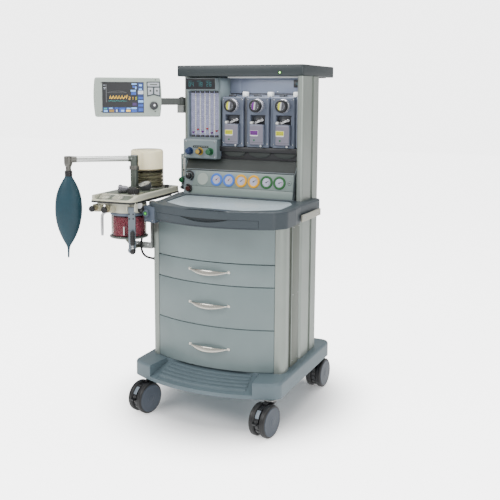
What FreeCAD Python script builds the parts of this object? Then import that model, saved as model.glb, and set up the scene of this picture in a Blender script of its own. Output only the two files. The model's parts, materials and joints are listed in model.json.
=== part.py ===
import FreeCAD, Part
import math
import os

os.makedirs("parts", exist_ok=True)

# Anesthesia machine. Millimetres, +X to the operator's right, +Y to the back, +Z up.
# The origin is on the floor, under the middle of the cabinet.

# ---- driving dimensions -------------------------------------------------------------------
# name, stem x, stem y, side the wheels trail to, and how far the castor is turned at rest
CASTORS = (("fl", -240.0, -247.0, -1, -14.0),
           ("fr", 282.0, -247.0, -1, -9.0),
           ("rl", -240.0, 242.0, 1, -5.0),
           ("rr", 284.0, 242.0, 1, -3.0))
CASTOR_TRAIL = 40.0
WHEEL_R = 62.5
WHEEL_HALF_SPAN = 37.5      # outer faces of a wheel pair, from its middle
WEB_HALF = 9.0
STEM_R = 11.0
RUN_GAP = 0.05              # radial clearance of a running fit

BASE_Z0 = 134.0
BASE_Z1 = 196.0
BASE_HALF_X = 321.0
BASE_BACK_Y = 340.0
BASE_BOW_R = 680.0          # front bow of the base, seen from above
BASE_BOW_Y = 354.0          # centre of that bow
STEP_RUN = 131.0            # foot step, from its top edge to the front of the base
STEP_FRONT_HALF = 232.0     # half width of the step at its front and at its back
STEP_BACK_HALF = 208.0
RIB_MARGIN = 32.0           # the ribs stop short of the ends of the step
RIB_COUNT = 5
RIB_PITCH = 20.0

FRONT_BOW_R = 633.0         # bow of the drawer fronts
FRONT_BOW_Y = 423.0
FRONT_HALF_X = 256.5
FRONT_T = 20.0
PANEL_SEAMS = (196.0, 367.0, 537.0, 626.0, 785.0)   # bottom of each front, then the worktop
SEAM_GAP = 3.0

WALL_IN = 252.0
WALL_OUT = 262.0
LINER_OUT = 275.0
SIDE_OUT = 290.0
SHELL_FRONT_Y = -95.0
SHELL_BACK_Y = 218.0
RIGHT_COLUMN_Y0 = 36.0
LEFT_COLUMN_Y0 = 118.0       # set back, behind the flowmeters
COLUMN_Y1 = 218.0
COLUMN_TOP = 1344.0

TOP_Z0 = 785.0              # worktop
TOP_Z1 = 850.0
ARM_END_Y = 165.0           # back end of the worktop's right arm
SLIDE_X = (-190.0, 250.0)
SLIDE_Z = (790.0, 818.0)
SLIDE_BACK_Y = -60.0

SHELF_Z = (1344.0, 1390.0)
SHELF_Y = (47.0, 421.0)
SHELF_HALF_X = 285.0

BACK_PANEL_Y = (186.0, 200.0)
FLOW_X = (-258.0, -100.0)
VAPOR_PITCH = 114.0
VAPOR_X = tuple(75.0 + VAPOR_PITCH * step for step in (-1, 0, 1))
VAPOR_HALF_X = 50.0
VAPOR_Z = (1056.0, 1262.0)
VAPOR_FRONT_Y = 80.0
DIAL_Z = 1225.0
DIAL_R = 28.0

GAUGE_PITCH = 57.0
GAUGE_X = tuple(-99.0 + GAUGE_PITCH * i for i in range(6))
GAUGE_Z = 916.0
GAUGE_R = 27.0
GAUGE_FACE_Y = 52.0

MONITOR_CENTRE = (-412.0, -127.0, 1257.0)
MONITOR_TURN = 42.0         # degrees the screen is turned towards the operator
MONITOR_SIZE = (276.0, 160.0, 52.0)
MONITOR_BACK_GAP = 23.0
SCREEN_X = (-106.0, 62.0)   # the screen on the monitor's face, from its middle
SCREEN_Z = (-62.0, 61.0)
MONITOR_KNOB = (104.0, -34.0)
ARM_PIVOT = (-307.0, 130.0)
ARM_Z = (1224.0, 1254.0)

PLATE_Z = (836.0, 876.0)    # absorber plate, with its manifold below
MANIFOLD_T = 14.0
CANISTER = (-355.0, -224.0)
CANISTER_R = 70.0
CANISTER_Z = (700.0, 800.0)
VALVE_X = (-408.0, -348.0)
SLOPE_LEFT_X = -440.0       # the plate keeps its full height to the left of the front slope
BELLOWS = (-400.0, -10.0)
BELLOWS_R = 62.0
DOME_R = 69.0
DOME_Z = (876.0, 1038.0)
BELLOWS_TOP = 950.0
POST = (-400.0, -110.0)
BAG_ARM_Z = 1005.0
BAG_ARM_REACH = 268.0
BAG_ARM_TURN = 219.0        # degrees from +X
POST_R = 16.5
POST_RING_R = 21.0
BAG_ARM_R = 12.0
NECK_R = 10.5
APL_KNOB = (-311.0, -254.0)
MODE_KNOB = (-307.0, -6.0)
LEVER = (-291.0, -300.0)
LEVER_PIVOT_Z = 826.0
LEVER_PIN_R = 2.5
BREATHING_PORT_X = (-446.0, -388.0)
BREATHING_PORT_R = 11.0     # 22 mm connectors
BREATHING_PORT_Y = (-352.0, -318.0)
MANOMETER = (-343.0, -118.0, 899.0)
MANOMETER_OUT = (0.13, -0.28, 0.95)
BRACKET_X = (-300.0, -294.0)

BAG_TOP = 935.0
# half width of the hanging bag at each height, from its cuff down to its tail
BAG_WIDTHS = ((957, 13.5), (933, 13.5), (912, 29), (880, 45), (845, 54.5), (805, 57.5), (765, 54.5),
              (725, 46), (690, 33), (662, 18), (640, 5), (597, 4))
BAG_FLATNESS = 0.62
BAG_LEAN = (-0.022, -0.011)  # the bag hangs a little to the left, per millimetre of its height

HOSE_R = 4.5
HOSE_ROUTE = (
    (-346, -134, 836),
    (-350, -136, 782),
    (-350, -135, 730),
    (-348, -136, 689),
    (-341, -157, 664),
    (-336, -165, 637),
    (-329, -157, 611),
    (-315, -134, 595),
    (-294, -114, 591),
)


# ---- helpers ------------------------------------------------------------------------------
def V(x, y, z=0.0):
    return FreeCAD.Vector(x, y, z)


def box(x, y, z):
    return Part.makeBox(x[1] - x[0], y[1] - y[0], z[1] - z[0], V(x[0], y[0], z[0]))


def rod(start, axis, radius, length):
    return Part.makeCylinder(radius, length, V(*start), V(*axis))


def pipe(start, axis, outer, inner, length):
    return rod(start, axis, outer, length).cut(rod(start, axis, inner, length))


def fuse(*shapes):
    return shapes[0].multiFuse(list(shapes[1:])).removeSplitter()


def mirrored(shape):
    return shape.mirror(V(0, 0), V(1, 0, 0))


def outline(corners):
    """Closed wire through (x, y, radius) corners, each rounded by its radius."""
    edges = []
    starts = []
    ends = []
    count = len(corners)
    for i, (x, y, radius) in enumerate(corners):
        here = V(x, y)
        before = V(*corners[i - 1][:2]) - here
        after = V(*corners[(i + 1) % count][:2]) - here
        before.normalize()
        after.normalize()
        half = before.getAngle(after) / 2
        reach = radius / math.tan(half) if radius else 0.0
        start = here + before * reach
        end = here + after * reach
        starts.append(start)
        ends.append(end)
        if radius:
            bisector = before + after
            bisector.normalize()
            middle = here + bisector * (radius / math.sin(half) - radius)
            edges.append(Part.Arc(start, middle, end).toShape())
    for i in range(count):
        a = ends[i]
        b = starts[(i + 1) % count]
        if a.distanceToPoint(b) > 1e-6:
            edges.append(Part.LineSegment(a, b).toShape())
    return Part.Wire(Part.__sortEdges__(edges))


def prism(corners, z0, z1):
    face = Part.Face(outline(corners))
    solid = face.extrude(V(0, 0, z1 - z0))
    solid.translate(V(0, 0, z0))
    return solid


def lathe(profile, origin, axis):
    """Solid of revolution. The profile is (along the axis, radius) points."""
    points = [V(r, 0, h) for h, r in profile]
    points.append(points[0])
    face = Part.Face(Part.makePolygon(points))
    solid = face.revolve(V(0, 0), V(0, 0, 1), 360)
    solid.Placement = FreeCAD.Placement(V(*origin), FreeCAD.Rotation(V(0, 0, 1), V(*axis)))
    return solid


def soften(shape, radius, wanted):
    """Fillet the edges for which wanted(edge) is true, one group at a time."""
    edges = [e for e in shape.Edges if e.Length > radius and wanted(e)]
    return shape.makeFillet(radius, edges)


def upright(edge):
    a = edge.Vertexes[0].Point
    b = edge.Vertexes[-1].Point
    return abs(a.x - b.x) < 0.01 and abs(a.y - b.y) < 0.01 and abs(a.z - b.z) > 1


def level_at(z):
    def test(edge):
        return all(abs(v.Point.z - z) < 0.01 for v in edge.Vertexes)
    return test


def slab_x(points, x0, x1):
    """Prism along X over a polygon of (y, z) points."""
    corners = [V(x0, y, z) for y, z in points]
    return Part.Face(Part.makePolygon(corners + corners[:1])).extrude(V(x1 - x0, 0, 0))


def moved(shape, x, y, z=0.0, turn=0.0):
    """Turn about the vertical through the origin, then shift."""
    shape = shape.copy()
    shape.rotate(V(0, 0), V(0, 0, 1), turn)
    shape.translate(V(x, y, z))
    return shape


NODES = {}


def node(name, shape):
    NODES[name] = shape


def bow_slab(radius, centre_y, thickness, half_x, z0, z1):
    """Upright panel bowed forward, of even thickness."""
    ring = pipe((0, centre_y, z0), (0, 0, 1), radius, radius - thickness, z1 - z0)
    return ring.common(box((-half_x, half_x), (-400, 0), (z0, z1)))


# ---- base ---------------------------------------------------------------------------------
def base():
    plan = rod((0, BASE_BOW_Y, BASE_Z0), (0, 0, 1), BASE_BOW_R, BASE_Z1 - BASE_Z0)
    body = plan.common(box((-BASE_HALF_X, BASE_HALF_X), (-400, BASE_BACK_Y), (BASE_Z0, BASE_Z1)))
    front_corner_y = BASE_BOW_Y - math.sqrt(BASE_BOW_R ** 2 - BASE_HALF_X ** 2)
    body = soften(body, 38, lambda e: upright(e) and e.Vertexes[0].Point.y > 0)
    body = soften(body, 34, lambda e: upright(e) and abs(e.Vertexes[0].Point.y - front_corner_y) < 1)
    body = soften(body, 11, level_at(BASE_Z1))
    # the foot step slopes down from the drawers to the front edge, with curved ribs on it
    step = step_cutter(0).common(step_plan(0))
    ribbed = step_cutter(RIB_COUNT).common(step_plan(RIB_MARGIN))
    body = body.cut(step.cut(step_plan(RIB_MARGIN))).cut(ribbed)
    for _, x, y, _, _ in CASTORS:
        body = body.cut(rod((x, y, BASE_Z0), (0, 0, 1), STEM_R + RUN_GAP, 36))
    node("base_platform", body)


def step_cutter(ribs):
    """Space over the foot step, all the way round the bow of the base."""
    top_r = BASE_BOW_R - STEP_RUN
    top_z = BASE_Z1 - 6
    low_r = BASE_BOW_R - 6
    low_z = BASE_Z0 + 16
    slope = (top_z - low_z) / (low_r - top_r)
    profile = [(BASE_Z1 + 5, top_r), (top_z, top_r)]
    for i in range(ribs):
        r0 = top_r + 18 + RIB_PITCH * i
        z_at = top_z - slope * (r0 - top_r)
        profile += [(z_at, r0), (z_at + 4, r0 + 1.5), (z_at + 1, r0 + 9), (z_at - 6, r0 + 10.5)]
    profile += [(low_z, low_r), (low_z - 2, BASE_BOW_R + 5), (BASE_Z1 + 5, BASE_BOW_R + 5)]
    return lathe(profile, (0, BASE_BOW_Y, 0), (0, 0, 1))


def step_plan(margin):
    """Plan of the foot step, wider at its front, less a margin at each end."""
    front = STEP_FRONT_HALF - margin
    back = STEP_BACK_HALF - margin
    return prism([(-back, -180, 0), (-front, -340, 0), (front, -340, 0), (back, -180, 0)], BASE_Z0, 205)


def castors():
    web_r = 54.0
    axle_r = 6.0
    axle_half = 30.0
    rim = WHEEL_HALF_SPAN - 3
    wheel = lathe([(WEB_HALF + 0.6, axle_r + RUN_GAP), (WEB_HALF + 0.6, 56), (13, 60.5),
                   (16, WHEEL_R), (rim - 5, WHEEL_R), (rim - 1, 60.5), (rim, 56), (rim - 1.5, 53),
                   (WHEEL_HALF_SPAN - 1, 30), (WHEEL_HALF_SPAN, 0), (axle_half + 1, 0),
                   (axle_half + 1, axle_r + RUN_GAP)], (0, 0, 0), (1, 0, 0))
    for name, stem_x, stem_y, side, turn in CASTORS:
        y = side * CASTOR_TRAIL
        web = rod((-WEB_HALF, y, WHEEL_R), (1, 0, 0), web_r, 2 * WEB_HALF)
        neck = box((-WEB_HALF, WEB_HALF), sorted((-side * 16, y)), (82, 127))
        head = rod((0, 0, 126.5), (0, 0, 1), 24, 7)
        stem = rod((0, 0, 130), (0, 0, 1), STEM_R, 38)
        axle = rod((-axle_half, y, WHEEL_R), (1, 0, 0), axle_r, 2 * axle_half)
        right = moved(wheel, 0, y, WHEEL_R)
        left = moved(mirrored(wheel), 0, y, WHEEL_R)
        node("castor_fork_" + name, moved(fuse(web, neck, head, stem, axle), stem_x, stem_y, 0, turn))
        node("castor_wheels_" + name, moved(Part.makeCompound([left, right]), stem_x, stem_y, 0, turn))
        if side < 0:
            node("brake_pedal_" + name, moved(brake_pedal(y, web_r), stem_x, stem_y, 0, turn))


def brake_pedal(y, web_r):
    """Arched pedal that turns about the axle, over the web, with a toe tab in front."""
    half = WEB_HALF - 0.5
    inner = web_r + 0.6
    thickness = 5.0
    arch = pipe((-half, y, WHEEL_R), (1, 0, 0), inner + thickness, inner, 2 * half)
    reach = 120.0
    low, high = (math.radians(a) for a in (4, 66))
    sector = slab_x([(y, WHEEL_R), (y - reach * math.cos(low), WHEEL_R + reach * math.sin(low)),
                     (y - reach * math.cos(high), WHEEL_R + reach * math.sin(high))], -half, half)
    tab = box((-half, half), (-inner - 20, -inner - 1), (4.2, 10))
    return fuse(arch.common(sector), moved(tab, 0, y, WHEEL_R))


# ---- cabinet ------------------------------------------------------------------------------
def cabinet():
    z = (BASE_Z1, TOP_Z0)
    shell = box((-LINER_OUT, LINER_OUT), (SHELL_FRONT_Y, 13), z)
    shell = shell.fuse(box((-SIDE_OUT, SIDE_OUT), (-64, 13), z))
    shell = shell.fuse(box((-WALL_OUT, WALL_OUT), (SHELL_FRONT_Y, SHELL_BACK_Y), z)).removeSplitter()
    shell = soften(shell, 5, lambda e: upright(e) and abs(abs(e.Vertexes[0].Point.x) - SIDE_OUT) < 0.1)
    shell = shell.cut(box((-WALL_IN, WALL_IN), (SHELL_FRONT_Y - 1, SHELL_BACK_Y - 8), (204, 777)))
    node("cabinet_shell", shell)

    bow = bow_slab(FRONT_BOW_R, FRONT_BOW_Y, FRONT_T, FRONT_HALF_X, PANEL_SEAMS[3] + SEAM_GAP / 2,
                   PANEL_SEAMS[4] - 1)
    upper = soften(bow, 2, on_bow_rim)
    brackets = [box((sx * 246 - 4, sx * 246 + 4), (-150, SHELL_FRONT_Y), (640, 770)) for sx in (-1, 1)]
    node("upper_front_panel", fuse(upper, *brackets))

    rails = []
    for i in range(3):
        z0 = PANEL_SEAMS[i] + (8 if i == 0 else 0)
        z1 = PANEL_SEAMS[i + 1]
        middle = (z0 + z1) / 2
        number = 3 - i
        front = bow_slab(FRONT_BOW_R, FRONT_BOW_Y, FRONT_T, FRONT_HALF_X,
                         PANEL_SEAMS[i] + SEAM_GAP / 2, z1 - SEAM_GAP / 2)
        front = soften(front, 2, on_bow_rim)
        handle_z = (282.0, 456.0, 590.0)[i]
        node("drawer_front_%d" % number, Part.makeCompound([front, bow_handle(handle_z)]))
        node("drawer_tray_%d" % number, drawer_tray(z0 + 12, z1 - 14))
        for sx in (-1, 1):
            x = sorted((sx * 240.0, sx * WALL_IN))
            rails.append(box(x, (SHELL_FRONT_Y, 180), (middle - 16, middle + 16)))
    node("drawer_slides", Part.makeCompound(rails))


def on_bow_rim(edge):
    """True for the edges round the bowed front face of a panel."""
    reach = [math.hypot(v.Point.x, v.Point.y - FRONT_BOW_Y) for v in edge.Vertexes]
    return all(abs(value - FRONT_BOW_R) < 0.05 for value in reach)


def bow_handle(z):
    """Crescent bow handle, tallest in the middle, whose two tips meet the front."""
    half = 88.0
    depth = 26.0
    tall = 19.0
    bar = 6.0
    foot_y = FRONT_BOW_Y - math.sqrt(FRONT_BOW_R ** 2 - half ** 2)
    tip_y = FRONT_BOW_Y - FRONT_BOW_R - depth
    radius = (half ** 2 + (foot_y - tip_y) ** 2) / (2 * (foot_y - tip_y))
    ring = pipe((0, tip_y + radius, z - tall), (0, 0, 1), radius, radius - bar, 2 * tall)
    tips = [V(-half, -400, z), V(half, -400, z)]
    crest = Part.Arc(tips[0], V(0, -400, z + tall * 0.35), tips[1]).toShape()
    keel = Part.Arc(tips[1], V(0, -400, z - tall * 0.65), tips[0]).toShape()
    crescent = Part.Face(Part.Wire([crest, keel])).extrude(V(0, 300, 0))
    face = rod((0, FRONT_BOW_Y, z - 30), (0, 0, 1), FRONT_BOW_R, 60)
    return ring.common(crescent).cut(face)


def drawer_tray(z0, z1):
    wall = 2.5
    x = 239.0
    y = (-138.0, 176.0)
    body = box((-x, x), y, (z0, z1))
    return body.cut(box((-x + wall, x - wall), (y[0] + wall, y[1] - wall), (z0 + wall, z1 + 1)))


def tray_joiners():
    """The fronts are bowed, so two rails at the middle of each tray reach its front."""
    for number in (1, 2, 3):
        tray = NODES["drawer_tray_%d" % number]
        z0 = tray.BoundBox.ZMin
        z1 = tray.BoundBox.ZMax
        rails = [box((-150, 150), (-200, -137), (z, z + 18)) for z in (z0, z1 - 18)]
        inside = rod((0, FRONT_BOW_Y, z0), (0, 0, 1), FRONT_BOW_R - FRONT_T, z1 - z0)
        NODES["drawer_tray_%d" % number] = fuse(tray, *[rail.common(inside) for rail in rails])


def columns():
    z = (BASE_Z1, TOP_Z0)
    front = prism([(258, -155, 0), (294, -155, 30), (294, -95, 0), (258, -95, 0)], *z)
    front = front.cut(box((288, 300), (-102, -97), z))
    right = rear_column(RIGHT_COLUMN_Y0)
    left = mirrored(rear_column(LEFT_COLUMN_Y0))
    node("frame_columns", Part.makeCompound([front, mirrored(front), right, left]))


def rear_column(front_y):
    nose_r = 13.0
    groove_y = (COLUMN_Y1 - 88, COLUMN_Y1 - 64)
    column = prism([(WALL_OUT, front_y, nose_r), (SIDE_OUT, front_y, nose_r),
                    (SIDE_OUT, COLUMN_Y1, 4), (WALL_OUT, COLUMN_Y1, 2)], BASE_Z1, COLUMN_TOP)
    if front_y < groove_y[0] - 30:
        column = column.cut(box((SIDE_OUT - 6, SIDE_OUT + 1), groove_y, (BASE_Z1 - 1, COLUMN_TOP + 1)))
    return column


# ---- worktop ------------------------------------------------------------------------------
def worktop():
    # the front edge is a shallow arc from the left end, over the middle, to the right corner
    left = V(-240, -250, TOP_Z0)
    middle = V(42, -337, TOP_Z0)
    right = V(304, -276, TOP_Z0)
    rear_y = BACK_PANEL_Y[0]
    corners = [V(334, -225, TOP_Z0), V(334, -140, TOP_Z0), V(324, -60, TOP_Z0),
               V(324, ARM_END_Y, TOP_Z0), V(WALL_OUT, ARM_END_Y, TOP_Z0), V(WALL_OUT, rear_y, TOP_Z0),
               V(-WALL_OUT, rear_y, TOP_Z0), V(-WALL_OUT, 112, TOP_Z0), V(-292, 112, TOP_Z0),
               V(-292, 60, TOP_Z0), V(-243, -171, TOP_Z0)]
    path = [right] + corners + [left]
    edges = [Part.Arc(left, middle, right).toShape()]
    for a, b in zip(path, path[1:]):
        edges.append(Part.LineSegment(a, b).toShape())
    slab = Part.Face(Part.Wire(edges)).extrude(V(0, 0, TOP_Z1 - TOP_Z0))
    slab = soften(slab, 26, at_points([(304, -276)]))
    slab = soften(slab, 40, at_points([(334, -225), (334, -140), (324, -60)]))
    slab = soften(slab, 14, at_points([(324, ARM_END_Y), (-240, -250), (-243, -171), (-292, 60),
                                       (-292, 112)]))
    slab = soften(slab, 7, level_at(TOP_Z1))
    slide = slab.common(box(SLIDE_X, (-400, SLIDE_BACK_Y), SLIDE_Z))
    pocket = box((SLIDE_X[0] - 1, SLIDE_X[1] + 1), (-400, SLIDE_BACK_Y + 1),
                 (SLIDE_Z[0] - 1, SLIDE_Z[1] + 1))
    body = slab.cut(pocket)
    body = body.cut(box((WALL_OUT, SIDE_OUT + 0.5), (RIGHT_COLUMN_Y0 - 0.5, 300), (TOP_Z0 - 1, TOP_Z1 + 1)))
    # dished tray surface, a little below the rim
    dish = prism([(-228, 20, 20), (-196, -205, 50), (-60, -290, 90), (190, -290, 90),
                  (296, -212, 50), (288, -60, 30), (250, 20, 20)], TOP_Z1 - 4, TOP_Z1 + 5)
    body = body.cut(dish)
    # crescent finger groove in the top of the front rim
    groove_r = 504.0
    body = body.cut(rod((46, -321 - groove_r, TOP_Z1 - 5), (0, 0, 1), groove_r, 10))
    node("worktop", body)
    # the writing slide has a wide shallow recess in its front, to pull it out by
    recess_r = 386.0
    recess_low = 804.0
    recess = rod((42, -400, recess_low + recess_r), (0, 1, 0), recess_r, 78)
    node("writing_slide", slide.cut(recess))

    rail = box((332, 338), (-78, 124), (787, 815))
    rail = soften(rail, 2, lambda e: e.Length > 100)
    posts = [rod((325.5, y, 801), (1, 0, 0), 8, 7) for y in (-40, 96)]
    node("accessory_rail", fuse(rail, *posts).cut(body))

    block = prism([(-264, -258, 8), (-204, -272, 4), (-204, -181, 2), (-264, -181, 6)], 772, 834)
    outlet = rod((-244, -275, 808), (0, 1, 0), 13, 14)
    node("outlet_block", fuse(block, outlet).cut(slab))


def at_points(points):
    def test(edge):
        if not upright(edge):
            return False
        p = edge.Vertexes[0].Point
        return any(math.hypot(p.x - x, p.y - y) < 0.5 for x, y in points)
    return test


# ---- upper part ---------------------------------------------------------------------------
def upper_frame():
    shelf = box((-SHELF_HALF_X, SHELF_HALF_X), SHELF_Y, SHELF_Z)
    shelf = soften(shelf, 4, lambda e: e.Length > 300 or upright(e))
    recess = box((-70, 250), (95, 150), (SHELF_Z[0] - 1, SHELF_Z[0] + 6))
    lamp = box((-69, 249), (96, 149), (SHELF_Z[0] - 6, SHELF_Z[0] + 6))
    lamp = soften(lamp, 3, level_at(SHELF_Z[0] - 6))
    node("top_shelf", Part.makeCompound([shelf.cut(recess), lamp]))

    back = box((-WALL_OUT, WALL_OUT), BACK_PANEL_Y, (TOP_Z0, SHELF_Z[0]))
    node("back_panel", back)


def flow_module():
    x0, x1 = FLOW_X
    front = 90.0
    back = BACK_PANEL_Y[0]
    body = box((x0, x1), (front, back), (1084, 1340))
    lower = box((x0, x1), (56, back), (1000, 1084))
    lower = soften(lower, 8, lambda e: abs(e.Vertexes[0].Point.y - 56) < 0.1
                   and abs(e.Vertexes[-1].Point.y - 56) < 0.1 and e.Length > 100)
    display = box((x0 + 10, x1 - 8), (60, front), (1289, 1338))
    shroud = body.cut(box((x0 + 8, x1 - 8), (front - 1, front + 20), (1090, 1284)))
    housing = fuse(shroud, lower, display)
    tubes = []
    for i in range(6):
        x = x0 + 24 + 22.4 * i
        tubes.append(rod((x, front + 9, 1090), (0, 0, 1), 7, 194))
    node("flowmeter_housing", housing)
    node("flow_tubes", Part.makeCompound(tubes))
    for number, x in enumerate((-228.0, -179.5, -131.0), 1):
        radius = 12.5
        knob = lathe([(0, 0), (0, radius), (15, radius), (18, radius - 3), (18, 0)],
                     (x, 56 - 6, 1032), (0, -1, 0))
        stub = rod((x, 56, 1032), (0, -1, 0), 5, 6)
        node("flow_knob_%d" % number, fuse(knob, stub))


def vaporizers():
    bar = box((-100, WALL_OUT), (95, BACK_PANEL_Y[0]), (1012, VAPOR_Z[0]))
    bar = soften(bar, 6, lambda e: abs(e.Vertexes[0].Point.y - 95) < 0.1 and e.Length > 200
                 and abs(e.Vertexes[-1].Point.y - 95) < 0.1)
    node("back_bar", bar)
    bodies = []
    for number, x in enumerate(VAPOR_X, 1):
        half = VAPOR_HALF_X
        body = prism([(x - half, VAPOR_FRONT_Y, 9), (x + half, VAPOR_FRONT_Y, 9),
                      (x + half, BACK_PANEL_Y[0], 3), (x - half, BACK_PANEL_Y[0], 3)], *VAPOR_Z)
        body = soften(body, 7, level_at(VAPOR_Z[1]))
        arch = box((x - 32, x + 36), (VAPOR_FRONT_Y - 1, VAPOR_FRONT_Y + 22), (1148, 1188))
        filler = box((x - 30, x + 34), (VAPOR_FRONT_Y - 16, VAPOR_FRONT_Y), (1066, 1150))
        filler = soften(filler, 5, lambda e: abs(e.Vertexes[0].Point.y - VAPOR_FRONT_Y + 16) < 0.1
                        and abs(e.Vertexes[-1].Point.y - VAPOR_FRONT_Y + 16) < 0.1)
        bodies.append(fuse(body.cut(arch), filler))
        skirt = lathe([(0, 0), (0, DIAL_R - 1), (22, DIAL_R - 2), (24, DIAL_R), (36, DIAL_R),
                       (38, DIAL_R - 3), (38, 0)], (x + 3, VAPOR_FRONT_Y - 0.4, DIAL_Z), (0, -1, 0))
        grip = box((x - 3, x + 9), (VAPOR_FRONT_Y - 47, VAPOR_FRONT_Y - 38), (DIAL_Z - 20, DIAL_Z + 20))
        grip = soften(grip, 4, lambda e: abs(e.Vertexes[0].Point.y - VAPOR_FRONT_Y + 47) < 0.1
                      and abs(e.Vertexes[-1].Point.y - VAPOR_FRONT_Y + 47) < 0.1)
        node("vaporizer_dial_%d" % number, fuse(skirt, grip))
    node("vaporizer_bodies", Part.makeCompound(bodies))


def gauge_panel():
    x = (-253.0, 252.0)
    lean = 10.0
    back = 120.0
    body = slab_x([(GAUGE_FACE_Y - 8, TOP_Z1), (back, TOP_Z1), (back, 1000), (88, 1000),
                   (GAUGE_FACE_Y + lean, 956)], *x)
    body = soften(body, 5, lambda e: e.Length > 400 and e.Vertexes[0].Point.z > 900
                  and e.Vertexes[0].Point.y < 100)
    gauges = []
    tilt = math.degrees(math.atan((lean + 8) / (956 - TOP_Z1)))
    slope = math.tan(math.radians(tilt))
    face_y = GAUGE_FACE_Y - 8 + slope * (GAUGE_Z - TOP_Z1)
    out = (0, -math.cos(math.radians(tilt)), math.sin(math.radians(tilt)))
    for gx in GAUGE_X:
        gauge = lathe([(-12, 0), (-12, GAUGE_R - 3), (0, GAUGE_R - 3), (0, GAUGE_R), (5, GAUGE_R),
                       (7, GAUGE_R - 2), (7, GAUGE_R - 6), (3, GAUGE_R - 6), (3, 0)],
                      (gx, face_y, GAUGE_Z), out)
        seat = rod((gx, face_y, GAUGE_Z), (0, -out[1], -out[2]), GAUGE_R - 3, 12)
        body = body.cut(seat)
        gauges.append(gauge)
    flush_x = -232.0
    flush_z = 872.0
    flush_y = GAUGE_FACE_Y - 8 + slope * (flush_z - TOP_Z1)
    button_r = 11.0
    well = rod((flush_x, flush_y - 5, flush_z), (0, 1, 0), button_r + 0.3, 25)
    body = body.cut(well)
    node("gauge_panel", body)
    node("pressure_gauges", Part.makeCompound(gauges))
    button = rod((flush_x, flush_y - 8, flush_z), (0, 1, 0), button_r, 18)
    button = soften(button, 2, lambda e: abs(e.Vertexes[0].Point.y - flush_y + 8) < 0.1
                    and abs(e.Length - 2 * math.pi * button_r) < 0.1)
    node("flush_button", button)
    switch_z = 925.0
    switch_y = GAUGE_FACE_Y - 8 + slope * (switch_z - TOP_Z1)
    dial = lathe([(0.4, 0), (0.4, 13), (12, 12), (14, 10), (14, 0)], (flush_x, switch_y, switch_z), out)
    shaft = rod((flush_x, switch_y, switch_z), (0, -out[1], -out[2]), 4, 10)
    bore = rod((flush_x, switch_y, switch_z), (0, -out[1], -out[2]), 4 + RUN_GAP, 11)
    NODES["gauge_panel"] = body.cut(bore)
    dial = dial.fuse(rod((flush_x, switch_y, switch_z), out, 4, 2))
    node("main_switch", fuse(dial, shaft))


def auxiliary_flowmeter():
    x = (-286.0, FLOW_X[0])
    y = (78.0, 112.0)
    block = box(x, y, (862, 1016))
    block = soften(block, 5, lambda e: upright(e) and e.Vertexes[0].Point.x < x[0] + 1)
    shaft = (-277, y[0], 905)
    block = block.cut(rod(shaft, (0, 1, 0), 4 + RUN_GAP, 14))
    node("aux_flowmeter", block)
    knob = lathe([(0.6, 0), (0.6, 12), (15, 11), (17, 9), (17, 0)], shaft, (0, -1, 0))
    knob = fuse(knob, rod((-277, y[0] - 3, 905), (0, 1, 0), 4, 15))
    node("aux_knob", knob)


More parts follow.
